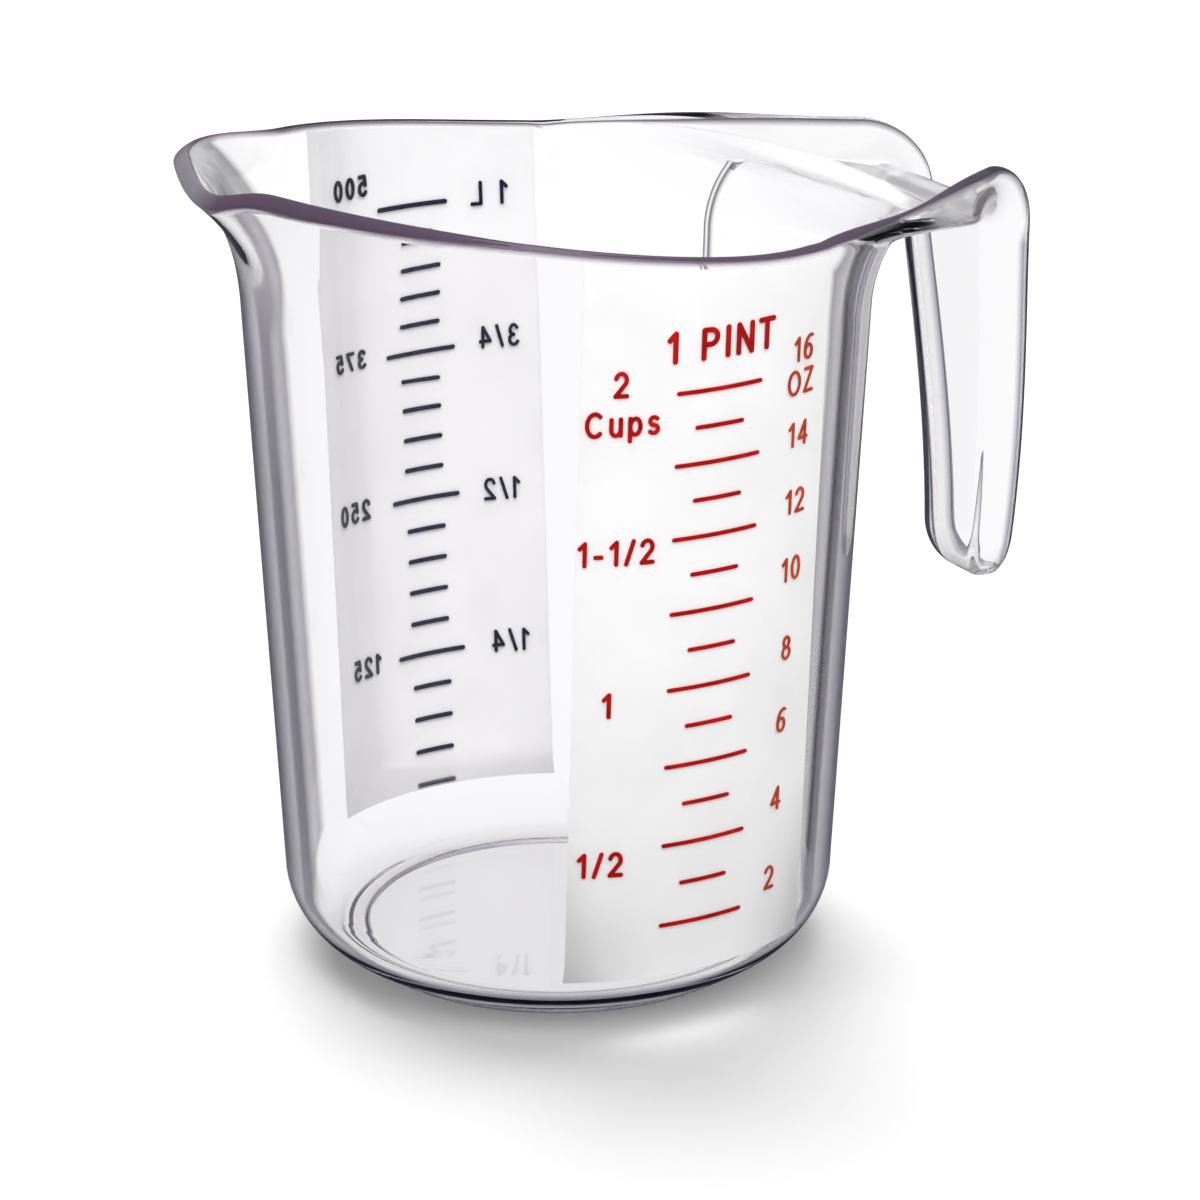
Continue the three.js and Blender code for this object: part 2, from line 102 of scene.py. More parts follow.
# How far the wall, the handle and the foot take on their painted shade, a dark tint by how steeply
# they are seen
WALL_SHADE_BANDS = ((0.58, 0), (0.63, 0.9), (0.72, 0.76), (0.84, 0.97), (1, 1))
HANDLE_SHADE_BANDS = ((0.6, 0), (0.8, 0.5), (1, 0.6))
FOOT_SHADE_BANDS = ((0.3, 0), (0.42, 0.95), (0.72, 0.9), (0.88, 0.2), (1, 0.3))

# Distances from a line on the skin where its painted shade is full and where it is gone
RIM_SHADE_LINE = (0.0001, 0.0005)
THIN_EDGE_SHADE = (0.0001, 0.0004)
RIB_FLANK_SHADE = (0.0002, 0.00042)
WEB_CORNER_SHADE = (0.0007, 0.0014)

# The painted rim shade: the rim's top face in shares of its thickness, and how softly its near side
# and its lip end
RIM_TOP = (0.44, 0.6)
NEAR_SIDE = 0.01
LIP_SOFTNESS = 0.004

# The channel's painted dark corner line in shares of the half width
WEB_CORNER_SHARE = 0.68

# Where a painted shade or the handle's milkiness starts and where it is full, by slope, by height
# and by place
LEVEL_SLOPES = (0.45, 0.85)
MILKY_SLOPES = (0.3, 0.7)
FOOT_SHADE_SLOPES = (-0.3, -0.5)
FOOT_SHADE_HEIGHTS = (0.0075, 0.0058)
CREST_PLACES = (0.01, 0.05)
SPOUT_PLACES = (0.002, -0.004)
LIP_SIDES = (-0.004, 0.004)

# The same in shares of the distance to the handle's root
HANDLE_SHADE = (0.93, 1)
HANDLE_MILK = (0.93, 1.1)

# How much light passes the upright and the level parts of the handle, and the rim and corner that
# carry painted shade
UPRIGHT_CLEARNESS = 0.95
LEVEL_CLEARNESS = 0.78
RIM_CLEARNESS = 0.35

# How much lamp light passes: the wall and the panels by height, behind the panels, and outwards
SHADOW_REACH = 0.04
SHADOW_STEPS = ((0, 0.06), (0.4, 0.3), (0.9, 0.9), (1, 0.93))
FILM_SHADOW_STEPS = ((0, 0.02), (0.4, 0.05), (0.9, 0.4), (1, 0.6))
BEHIND_PANELS = (0.034, 0.038)
BEHIND_LIGHT = 0.93
FILM_BACK_LIGHT = 0.7

# How much of the panels' look is light that shines through them
FILM_GLOW = 0.68

# The floor: its size, how white each kind of ray sees it, and its tone in reflections
FLOOR_SIZE = 8
FLOOR_SHARES = (("Is Camera Ray", 0.15), ("Is Transmission Ray", 0.82), ("Is Reflection Ray", 0.96))
FLOOR_MIRRORED = (0.035, 0.037, 0.06)

# Lamps: name, strength, and spread, height and turn in degrees
LAMPS = (("key", 0.85, 45, 58, -8), ("back", 3.2, 55, 54, 165))

# The surround: its soft light, and from below to above its tones through the plastic and mirrored
SOFT_LIGHT = 0.3
WHITE = (1, 1, 1)
DUSK = (0.42, 0.36, 0.47)
THROUGH_SKY = ((0, WHITE), (0.3, WHITE), (0.7, DUSK), (1, DUSK))
MIRRORED_SKY = ((0, 0.1), (0.5, 0.06), (1, 0.3))

# The camera: place from the cup's axis, tilt and turn in degrees, lens and sensor in millimetres
CAMERA_PLACE = (-0.3101, -0.5496, 0.2795)
CAMERA_TILT = 19.82
CAMERA_TURN = -30
CAMERA_LENS = 137.41
CAMERA_SENSOR = 36

# Characters in a box one capital high: the width, then the strokes. A line is its two ends.
# An arc is its centre, its radii, and its start and sweep in degrees.
STROKES = {
    " ": (0.3,),
    "-": (0.36, (0.05, 0.36, 0.31, 0.36)),
    "/": (0.36, (0.03, -0.02, 0.33, 1.02)),
    "0": (0.54, (0.27, 0.5, 0.23, 0.5, 0, 360)),
    "1": (0.38, (0.28, 0, 0.28, 1), (0.28, 1, 0.06, 0.77)),
    "2": (0.56, (0.27, 0.71, 0.23, 0.29, 165, -200), (0.46, 0.55, 0.04, 0), (0.04, 0, 0.53, 0)),
    "3": (0.56, (0.27, 0.75, 0.2, 0.25, 155, -245), (0.27, 0.26, 0.23, 0.26, 90, -245)),
    "4": (0.58, (0.42, 0, 0.42, 1), (0.42, 1, 0.03, 0.28), (0.03, 0.28, 0.55, 0.28)),
    "5": (0.56, (0.48, 1, 0.13, 1), (0.13, 1, 0.08, 0.52), (0.27, 0.32, 0.24, 0.32, 140, -285)),
    "6": (0.56, (0.28, 0.3, 0.22, 0.3, 0, 360), (0.42, 0.4, 0.36, 0.6, 190, -115)),
    "7": (0.54, (0.04, 1, 0.5, 1), (0.5, 1, 0.18, 0)),
    "8": (0.56, (0.28, 0.77, 0.19, 0.23, 0, 360), (0.28, 0.27, 0.23, 0.27, 0, 360)),
    "C": (0.7, (0.36, 0.5, 0.33, 0.5, 48, 264)),
    "I": (0.16, (0.08, 0, 0.08, 1)),
    "L": (0.5, (0.05, 1, 0.05, 0), (0.05, 0, 0.48, 0)),
    "N": (0.64, (0.05, 0, 0.05, 1), (0.05, 1, 0.59, 0), (0.59, 0, 0.59, 1)),
    "O": (0.74, (0.37, 0.5, 0.33, 0.5, 0, 360)),
    "P": (
        0.6, (0.05, 0, 0.05, 1), (0.05, 1, 0.3, 1), (0.3, 0.74, 0.25, 0.26, 90, -180),
        (0.3, 0.48, 0.05, 0.48),
    ),
    "T": (0.6, (0.02, 1, 0.58, 1), (0.3, 1, 0.3, 0)),
    "Z": (0.58, (0.05, 1, 0.53, 1), (0.53, 1, 0.04, 0), (0.04, 0, 0.55, 0)),
    "p": (0.54, (0.05, 0.72, 0.05, -0.28), (0.27, 0.36, 0.22, 0.36, 0, 360)),
    "s": (0.46, (0.23, 0.54, 0.17, 0.18, 35, 235), (0.23, 0.18, 0.19, 0.18, 90, -235)),
    "u": (0.5, (0.05, 0.72, 0.05, 0.24), (0.25, 0.24, 0.2, 0.24, 180, 180), (0.45, 0.72, 0.45, 0)),
}

# Words and fractions: name, text, place across the panel, height and letter height
RED_WORDS = (
    ("pint", "1 PINT", 0.0001, 0.1033, 0.0047),
    ("cups_2", "2", -0.0145, 0.0987, 0.0038),
    ("cups", "Cups", -0.0141, 0.0931, 0.0038),
    ("cups_1_half", "1-1/2", -0.0145, 0.0744, 0.0038),
    ("cups_1", "1", -0.0152, 0.0518, 0.0039),
    ("cups_half", "1/2", -0.0155, 0.0275, 0.0039),
)
BLUE_FRACTIONS = (
    ("litre", "1 L", -0.0129, 0.1021, 0.0038),
    ("three_quarters", "3/4", -0.0134, 0.0801, 0.0036),
    ("half", "1/2", -0.0132, 0.0559, 0.0036),
    ("quarter", "1/4", -0.0138, 0.0313, 0.0037),
)

# Numerals: text, place across the panel and height
OUNCES = (
    ("16", 0.0146, 0.0996), ("OZ", 0.0143, 0.0948), ("14", 0.0142, 0.0872), ("12", 0.0142, 0.0773),
    ("10", 0.014, 0.0672), ("8", 0.0138, 0.0553), ("6", 0.0134, 0.0443), ("4", 0.013, 0.0323),
    ("2", 0.0123, 0.0201),
)
MILLILITRES = (
    ("500", 0.0112, 0.1056), ("375", 0.0136, 0.08), ("250", 0.0142, 0.0563), ("125", 0.013, 0.0314),
)
OUNCE_HEIGHT = 0.0037
MILLILITRE_HEIGHT = 0.0034

# Stroke widths in shares of the letter height
WORD_WEIGHT = 0.155
FRACTION_WEIGHT = 0.145
OUNCE_WEIGHT = 0.12
MILLILITRE_WEIGHT = 0.19


def size(name, text, default):
    return FloatProperty(name=name, description=text, default=default, unit="LENGTH", precision=5)


def angle(name, text, degrees):
    return FloatProperty(
        name=name, description=text, default=math.radians(degrees), subtype="ANGLE"
    )


def ratio(name, text, default):
    return FloatProperty(name=name, description=text, default=default, precision=3)


def colour(name, text, default):
    return FloatVectorProperty(
        name=name, description=text, default=default, size=3, min=0, max=1, subtype="COLOR"
    )


class JugCupSizes(bpy.types.PropertyGroup):
    """Wall, rim, spout and base of the cup"""

    rim_radius: size("Rim radius", "Outside radius at the level rim", 0.0458)
    shoulder_height: size("Shoulder height", "Height of the level rim", 0.1123)
    wall_taper: ratio("Wall taper", "Radius lost for each unit of height", 0.052)
    wall: size("Wall", "Thickness of the wall", 0.00225)
    rim_thickness: size("Rim thickness", "Thickness at the free edge", 0.0025)
    rim_round: size("Rim round", "Height of the rounded free edge", 0.00022)
    rim_rise: ratio("Rim rise", "Slope of the rim towards the spout", 0.138)
    rise_start: size("Rise start", "Where the rim starts to rise", 0.0128)
    rise_blend: size("Rise blend", "Softness of the start of the rise", 0.011)
    spout_flare: size("Spout flare", "Reach of the spout beyond the round wall", 0.0094)
    spout_spread: angle("Spout spread", "Half of the spout's width round the rim", 56)
    spout_fullness: ratio("Spout fullness", "Higher is a blunter spout", 1.9)
    spout_power: ratio("Spout power", "Higher runs out more softly into the rim", 1.35)
    flare_power: ratio("Flare power", "Higher keeps the flare closer to the rim", 2.4)
    lip_dip: size("Lip dip", "Drop of the rim at the pouring lip", 0.003)
    lip_dip_spread: angle("Lip dip spread", "Half of the dip's width round the rim", 16)
    foot_inner: size("Foot inner radius", "Inside of the ring it stands on", 0.029)
    foot_outer: size("Foot outer radius", "Outside of the ring it stands on", 0.0316)
    foot_step: size("Foot step", "Height of the corner above the ring", 0.0008)
    foot_recess: size("Foot recess", "Depth of the hollow inside the ring", 0.0011)
    foot_draft: size("Foot draft", "Slant of the ring's sides", 0.0005)
    outer_corner: size("Outer corner", "Radius of the corner above the foot", 0.012)
    inner_corner: size("Inner corner", "Radius of the fillet round the floor", 0.008)
    floor: size("Floor", "Thickness of the floor", 0.0025)


class JugHandleSizes(bpy.types.PropertyGroup):
    """The hanging channel handle and the ribs beside it"""

    shoulder_angle: angle("Shoulder angle", "Where the rim turns into the handle", 65)
    reach: size("Reach", "Distance of the outer bend from the cup's axis", 0.0725)
    drop: size("Drop", "How far the handle's top lies below the rim", 0.0008)
    crest: size("Crest", "Rise of the free edge over the outer bend", 0.0013)
    bend_radius: size("Bend radius", "Radius of the outer bend", 0.0095)
    channel_depth: size("Channel depth", "Depth of the channel", 0.0066)
    channel_power: ratio("Channel power", "Higher is a squarer channel", 14)
    climb_share: ratio("Climb share", "Share of the root that lies on the wall", 0.36)
    root_radius: size("Root radius", "Round between the wall and the handle", 0.007)
    neck_half_width: size("Neck half width", "Half width at the outer bend", 0.0139)
    neck_taper: ratio("Neck taper", "Half width lost along the drop", 0.115)
    shoulder_pull: size("Shoulder pull", "Fullness of the shoulder's curve", 0.039)
    neck_pull: size("Neck pull", "Fullness of the curve into the neck", 0.014)
    tip_height: size("Tip height", "Height of the handle's free end", 0.0436)
    tip_half_width: size("Tip half width", "Half width at the very end", 0.0016)
    tip_length: size("Tip length", "Length of the rounded end", 0.008)
    tip_depth: size("Tip depth", "Depth of the channel at the very end", 0.0003)
    tip_power: ratio("Tip power", "Squareness of the section at the very end", 14)
    lean: angle("Lean", "Slant of the hanging part", 2.2)
    bow: size("Bow", "How far the hanging part bows outwards", 0.0013)
    shoulder_swell: size("Shoulder swell", "Half width added in mid shoulder", 0.0015)
    shoulder_rise: size("Shoulder rise", "Height added in mid shoulder", 0.0006)
    rib_angle: angle("Rib angle", "Place of the ribs round the cup", 28)
    rib_width: size("Rib width", "Width of an inner rib", 0.0014)
    rib_height: size("Rib height", "Height of an inner rib", 0.0008)


class JugScaleSizes(bpy.types.PropertyGroup):
    """The printed panels, marks and labels"""

    front_angle: angle("Front angle", "Middle of the front panel, from the handle", -90)
    rear_angle: angle("Rear angle", "Middle of the rear panel, from the handle", 90)
    front_half_width: size("Front half width", "Half width of the front panel", 0.02)
    rear_half_width: size("Rear half width", "Half width of the rear panel", 0.02)
    bottom: size("Bottom", "Height of the panels' lower edge", 0.009)
    rim_gap: size("Rim gap", "Clear band under the rim", 0.0009)
    panel_stand: size("Panel stand", "Middle of a panel above the wall", 0.00025)
    panel_thickness: size("Panel thickness", "Thickness of a panel", 0.0002)
    ink_stand: size("Ink stand", "Middle of the ink above the wall", 0.0003)
    ink_thickness: size("Ink thickness", "Thickness of the ink, through its panel", 0.0004)
    front_mark: size("Front mark", "Width of a red mark", 0.00055)
    rear_mark: size("Rear mark", "Width of a blue mark", 0.00068)
    front_long: size("Front long mark", "Length of a long red mark", 0.0134)
    front_short: size("Front short mark", "Length of a short red mark", 0.0076)
    rear_long: size("Rear long mark", "Length of a long blue mark", 0.0122)
    rear_short: size("Rear short mark", "Length of a short blue mark", 0.007)


class JugColours(bpy.types.PropertyGroup):
    """Colours of the moulding and its prints, and the painted shade on the moulding"""

    plastic: colour("Plastic", "The clear plastic seen square on", (0.985, 0.985, 0.99))
    # edge: painted shade, the dark tint where the plastic is seen edge on
    edge: colour("Edge", "The clear plastic seen edge on", (0.05, 0.045, 0.07))
    # rim: painted shade, a dark band along the near side of the rim
    rim: colour("Rim", "The thick plastic of the rim", (0.17, 0.12, 0.185))
    # crest: painted shade, the rim band made darker where it rolls over into the handle
    crest: colour("Crest", "The rim where it rolls over into the handle", (0.085, 0.07, 0.115))
    # lip: painted shade, the rim band made lighter round the far side of the spout
    lip: colour("Lip", "The rim round the far side of the spout", (0.4, 0.37, 0.43))
    # corner: painted shade, a dark line down the channel's further corner
    corner: colour("Corner", "The further corner of the hanging channel", (0.02, 0.02, 0.04))
    # foot: painted shade, a dark band low on the corner above the foot
    foot: colour("Foot", "The thick plastic above the foot", (0.05, 0.045, 0.085))
    # thin: painted shade, dark lines along the handle's hanging free edges
    thin: colour("Thin edge", "The free edges of the handle", (0.2, 0.19, 0.25))
    # rib: painted shade, dark lines down the sides of the ribs
    rib: colour("Rib", "The sides of the ribs", (0.03, 0.026, 0.04))
    depth: colour("Depth", "Tint of thick plastic", (0.62, 0.52, 0.66))
    panel: colour("Panel", "The translucent white panels", (0.955, 0.955, 0.95))
    red: colour("Red", "The front marks and words", (0.46, 0.004, 0.003))
    rust: colour("Rust", "The front ounce numerals", (0.5, 0.06, 0.02))
    blue: colour("Blue", "The rear marks and fractions", (0.005, 0.006, 0.07))
    black: colour("Black", "The rear numerals", (0.008, 0.008, 0.012))
    ground: colour("Ground", "The floor it stands on", (0.93, 0.93, 0.93))


def smooth(share):
    share = min(max(share, 0), 1)
    return share * share * (3 - 2 * share)


def mix(start, end, share):
    return start + (end - start) * share


def polar(radius, turn, z):
    return np.array((radius * math.cos(turn), radius * math.sin(turn), z))


class JugForm:
    """The moulding as formulas, in metres, on the cup's own axis with the handle along +X"""

    def __init__(self, scene):
        cup, handle = scene.jug_cup, scene.jug_handle
        self.cup, self.handle = cup, handle
        low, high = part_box("ounce_mark_16")
        self.axis = np.array(((low.x + high.x) / 2, 0, 0))
        self.root = self.axis[0] + cup.rim_radius
        self.lip = self.axis[0] - cup.rim_radius
        self.handle_top = cup.shoulder_height - handle.drop
        self.channel_top = self.handle_top - handle.channel_depth
        self.flare_height = self.channel_top - handle.root_radius
        self.floor_height = cup.foot_recess + cup.floor
        self.corner_height = cup.foot_step + cup.outer_corner
        self.fillet_height = self.floor_height + cup.inner_corner
        self.bend_x = handle.reach - handle.bend_radius
        self.edge_start = self.flared_wall(handle.shoulder_angle, 1)
        self.level_length = self.bend_x - self.edge_start[0]
        self.bend_sweep = math.pi / 2 - handle.lean
        self.neck_length = self.level_length + handle.bend_radius * self.bend_sweep
        self.drop_x = self.bend_x + handle.bend_radius * math.sin(self.bend_sweep)
        self.drop_z = self.handle_top - handle.bend_radius * (1 - math.cos(self.bend_sweep))
        self.drop_length = (self.drop_z - handle.tip_height) / math.cos(handle.lean)
        self.edge_length = self.neck_length + self.drop_length
        self.angles, self.sector = self.column_angles()
        self.rib_top = WALL_ROWS + FLARE_ROWS
        self.sector_angles = self.angles[: self.sector + 1]
        self.rows = self.sector_rows()
        self.handle_rows = self.rows[FLARE_ROWS:]

    def wall_radius(self, z):
        return self.cup.rim_radius - self.cup.wall_taper * (self.cup.shoulder_height - z)

    def outside_radius(self, z):
        """Outside radius, with the rounded corner above the foot."""
        if z >= self.corner_height:
            return self.wall_radius(z)
        corner, drop = self.cup.outer_corner, self.corner_height - z
        return self.wall_radius(self.corner_height) - corner + math.sqrt(corner**2 - drop**2)

    def spout_flare(self, turn):
        off = math.pi - abs(turn)
        if off >= self.cup.spout_spread:
            return 0.0
        inner = 1 - (off / self.cup.spout_spread) ** self.cup.spout_fullness
        return self.cup.spout_flare * inner**self.cup.spout_power

    def rim_height(self, turn):
        """A level line that bends up towards the spout and dips at the lip."""
        cup = self.cup
        ahead = cup.rise_start - (cup.rim_radius + self.spout_flare(turn)) * math.cos(turn)
        rise = cup.rim_rise * (math.hypot(ahead, cup.rise_blend) + ahead) / 2
        off = math.pi - abs(turn)
        dip = 0.0
        if off < cup.lip_dip_spread:
            dip = cup.lip_dip * (1 + math.cos(math.pi * off / cup.lip_dip_spread)) / 2
        return cup.shoulder_height + rise - dip

    def flared_wall(self, turn, share):
        z = mix(self.flare_height, self.rim_height(turn), share)
        radius = self.wall_radius(z) + self.spout_flare(turn) * share**self.cup.flare_power
        return polar(radius, turn, z)

    def edge_profile(self, run):
        """Place of the handle's free edge, seen from the side, and how far it has turned down."""
        handle = self.handle
        if run <= self.level_length:
            z = mix(self.edge_start[2], self.handle_top, smooth(run / self.level_length))
            return self.edge_start[0] + run, z, 0.0
        if run <= self.neck_length:
            turn = (run - self.level_length) / handle.bend_radius
            x = self.bend_x + handle.bend_radius * math.sin(turn)
            return x, self.handle_top - handle.bend_radius * (1 - math.cos(turn)), turn
        run -= self.neck_length
        share = min(run / self.drop_length, 1)
        bow = handle.bow * share**BOW_POWER * (1 - share) / BOW_PEAK
        x = self.drop_x + run * math.sin(handle.lean) + bow
        return x, self.drop_z - run * math.cos(handle.lean), self.bend_sweep

    def shoulder_line(self, share):
        """Curve that draws the shoulders in to the neck: run along the edge and half width."""
        handle, back = self.handle, 1 - share
        y = self.edge_start[1]
        runs = (0, handle.shoulder_pull, self.neck_length - handle.neck_pull, self.neck_length)
        widths = (
            y,
            y - handle.shoulder_pull / math.tan(handle.shoulder_angle),
            handle.neck_half_width + handle.neck_taper * handle.neck_pull,
            handle.neck_half_width,
        )
        parts = (back**3, 3 * back**2 * share, 3 * back * share**2, share**3)
        return sum(map(math.prod, zip(parts, runs))), sum(map(math.prod, zip(parts, widths)))

    def tip_fullness(self, run):
        share = max(0, 1 - (self.edge_length - run) / self.handle.tip_length)
        return math.sqrt(max(0, 1 - share**2))

    def half_width(self, run):
        handle = self.handle
        if run <= self.neck_length:
            low, high = 0.0, 1.0
            for _ in range(HALVINGS):
                middle = (low + high) / 2
                if self.shoulder_line(middle)[0] < run:
                    low = middle
                else:
                    high = middle
            return self.shoulder_line(low)[1]
        width = handle.neck_half_width - handle.neck_taper * (run - self.neck_length)
        return mix(handle.tip_half_width, width, self.tip_fullness(run))

    def root_line(self, share):
        """Middle line of the handle's underside from the wall to the bend."""
        radius = self.handle.root_radius
        start = self.wall_radius(self.flare_height)
        arc = radius * math.pi / 2
        run = share * (arc + self.bend_x - start - radius)
        if run > arc:
            return start + radius + run - arc, self.channel_top
        turn = run / radius
        return start + radius * (1 - math.cos(turn)), self.flare_height + radius * math.sin(turn)

    def sector_rows(self):
        """Free edge, middle, share of channel, section power and tip fullness of each row."""
        handle, rows = self.handle, []
        for row in range(1, FLARE_ROWS + 1):
            share = row / FLARE_ROWS
            edge = self.flared_wall(handle.shoulder_angle, share)
            middle = self.root_line(handle.climb_share * share)
            rows.append((edge, middle, 0.0, handle.channel_power, 1.0))
        for row in range(1, SHOULDER_ROWS + 1):
            share = row / SHOULDER_ROWS
            run = self.level_length * share
            x, z, _ = self.edge_profile(run)
            middle = self.root_line(mix(handle.climb_share, 1, share))
            swell = math.sin(math.pi * share) ** 2
            y = self.half_width(run) + handle.shoulder_swell * swell
            z += handle.crest * smooth(share) + handle.shoulder_rise * swell
            rows.append((np.array((x, y, z)), middle, smooth(share), handle.channel_power, 1.0))
        plain = self.drop_length - handle.tip_length
        bend = self.neck_length - self.level_length
        runs = [self.level_length + bend * row / BEND_ROWS for row in range(1, BEND_ROWS + 1)]
        runs += [self.neck_length + plain * row / DROP_ROWS for row in range(1, DROP_ROWS + 1)]
        for row in range(1, TIP_ROWS + 1):
            left = 1 - math.sin(math.pi / 2 * row / TIP_ROWS)
            runs.append(self.edge_length - handle.tip_length * left)
        for run in runs:
            x, z, turn = self.edge_profile(run)
            fullness = self.tip_fullness(run)
            depth = mix(handle.tip_depth, handle.channel_depth, fullness)
            power = mix(handle.tip_power, handle.channel_power, fullness)
            middle = x - depth * math.sin(turn), z - depth * math.cos(turn)
            rise = handle.crest * (1 - turn / self.bend_sweep)
            edge = np.array((x, self.half_width(run), z + rise))
            rows.append((edge, middle, 1.0, power, fullness))
        return rows

    def sector_point(self, row, turn):
        edge, middle, channel, power, _ = row
        shoulder = self.handle.shoulder_angle
        across = math.sin(turn) / math.sin(shoulder)
        bow = (1 - math.cos(turn)) / (1 - math.cos(shoulder))
        lift = mix(bow, abs(across) ** power, channel)
        return np.array((
            mix(middle[0], edge[0], lift), edge[1] * across, mix(middle[1], edge[2], lift)
        ))

    def rib_turn(self):
        """Half of a rib's width, as an angle."""
        return self.handle.rib_width / 2 / (self.cup.rim_radius - self.cup.wall)

    def column_angles(self):
        """Angles of the columns, the handle's sector first, and the sector's last column."""
        shoulder, half = self.handle.shoulder_angle, self.rib_turn()
        sector = list(np.linspace(-shoulder, shoulder, SECTOR_COLUMNS + 1))
        for rib in (-self.handle.rib_angle, self.handle.rib_angle):
            sector = [turn for turn in sector if abs(turn - rib) > 2 * half]
            sector += [rib + half * part for part in RIB_COLUMNS]
        sector.sort()
        rest = list(np.linspace(shoulder, 2 * math.pi - shoulder, REST_COLUMNS + 1)[1:-1])
        return np.array(sector + rest), len(sector) - 1

    def outside(self):
        """Points and outward directions of the round wall, and of the handle beyond the rim."""
        heights = np.linspace(self.corner_height, self.flare_height, WALL_ROWS + 1)
        wall = [[polar(self.wall_radius(z), turn, z) for turn in self.angles] for z in heights]
        for row in range(FLARE_ROWS):
            line = [self.sector_point(self.rows[row], turn) for turn in self.sector_angles]
            for turn in self.angles[self.sector + 1 :]:
                signed = turn if turn <= math.pi else turn - 2 * math.pi
                line.append(self.flared_wall(signed, (row + 1) / FLARE_ROWS))
            wall.append(line)
        handle = [
            [self.sector_point(row, turn) for turn in self.sector_angles]
            for row in self.handle_rows
        ]
        wall, handle = np.array(wall), np.array(handle)
        return wall, handle, *self.outward(wall, handle)

    def outward(self, wall, handle):
        """Unit directions out of the sheet, drawn together towards the handle's tip."""
        last = self.sector + 1
        before, after = self.angles[-1] - 2 * math.pi, self.angles[0] + 2 * math.pi
        turns = np.concatenate(([before], self.angles, [after]))
        wrapped = np.concatenate((wall[:, -1:], wall, wall[:, :1]), axis=1)
        round_wall = np.gradient(wrapped, turns, axis=1)[:, 1:-1]
        up_wall = np.gradient(wall, axis=0)
        both = np.concatenate((wall[:, :last], handle))
        up_both = np.gradient(both, axis=0)
        up_wall[:, :last] = up_both[: len(wall)]
        round_handle = np.gradient(handle, self.sector_angles, axis=1)
        wall_out = np.cross(round_wall, up_wall)
        handle_out = np.cross(round_handle, up_both[len(wall) :])
        wall_out /= np.linalg.norm(wall_out, axis=2, keepdims=True)
        handle_out /= np.linalg.norm(handle_out, axis=2, keepdims=True)
        middle = self.sector // 2
        for row, (*_, fullness) in enumerate(self.handle_rows):
            handle_out[row] = mix(handle_out[row, middle], handle_out[row], fullness)
        handle_out /= np.linalg.norm(handle_out, axis=2, keepdims=True)
        return wall_out, handle_out

    def rib_distance(self, turn):
        """Angle from the nearer rib, in halves of a rib's width."""
        return abs(abs(turn) - self.handle.rib_angle) / self.rib_turn()

    def rib_lift(self, row, turn):
        """How far a rib stands on the inside of the wall, in a row counted from the corner."""
        if row > self.rib_top:
            return 0.0
        share = (RIB_EDGE - self.rib_distance(turn)) / RIB_SOFTNESS
        return self.handle.rib_height * smooth(share)

    def inside(self, wall, handle, wall_out, handle_out):
        """The same sheets a wall's thickness further in, with the ribs on them."""
        depth_wall = np.full(wall.shape[:2] + (1,), self.cup.wall)
        depth_handle = np.full(handle.shape[:2] + (1,), self.cup.wall)
        depth_wall[-1, self.sector :] = depth_wall[-1, 0] = self.cup.rim_thickness
        depth_handle[:, 0] = depth_handle[:, -1] = depth_handle[-1] = self.cup.rim_thickness
        for column, turn in enumerate(self.sector_angles):
            for row in range(len(wall)):
                depth_wall[row, column] += self.rib_lift(row, turn)
            for row in range(len(handle)):
                depth_handle[row, column] += self.rib_lift(len(wall) + row, turn)
        handle_in = handle - handle_out * depth_handle
        for row, (edge, middle, channel, power, fullness) in enumerate(self.handle_rows):
            deep = edge[::2] - middle
            floor = np.array(middle) + deep / np.linalg.norm(deep) * self.cup.wall
            for column, turn in enumerate(self.sector_angles):
                across = math.sin(turn) / math.sin(self.handle.shoulder_angle)
                x, z = mix(floor, edge[::2], abs(across) ** power)
                squared = np.array((x, (edge[1] - self.cup.wall) * across, z))
                share = channel**2 * fullness**2
                handle_in[row, column] = mix(handle_in[row, column], squared, share)
        return wall - wall_out * depth_wall, handle_in

    def web_corner(self):
        """Points down the hanging channel's outer face, beside its further corner, where a painted
        shade line runs.
        """
        turn = math.asin(WEB_CORNER_SHARE * math.sin(self.handle.shoulder_angle))
        hanging = [row for row in self.handle_rows if row[0][2] < self.drop_z]
        return [self.sector_point(row, turn) for row in hanging]

    def rib_flanks(self, wall_in, handle_in):
        """Points down both sides of each rib."""
        sheet = np.concatenate((wall_in[:, : self.sector + 1], handle_in))[: self.rib_top + 1]
        low, high = RIB_SIDES
        points = []
        for column, turn in enumerate(self.sector_angles):
            if low < self.rib_distance(turn) < high:
                points += list(sheet[:, column])
        return points

    def free_edge(self, wall, handle):
        """Round the rim, then out and back along the handle, as one closed line."""
        return np.concatenate((
            wall[-1, self.sector :], wall[-1:, 0], handle[:, 0],
            handle[-1, 1:-1], handle[::-1, -1], wall[-1:, self.sector],
        ))

    def rings(self, profile):
        """A profile of radius and height pairs, turned round the axis on the sheet's columns."""
        turns = np.append(self.angles, self.angles[0])
        return np.array([[polar(radius, turn, z) for turn in turns] for radius, z in profile])

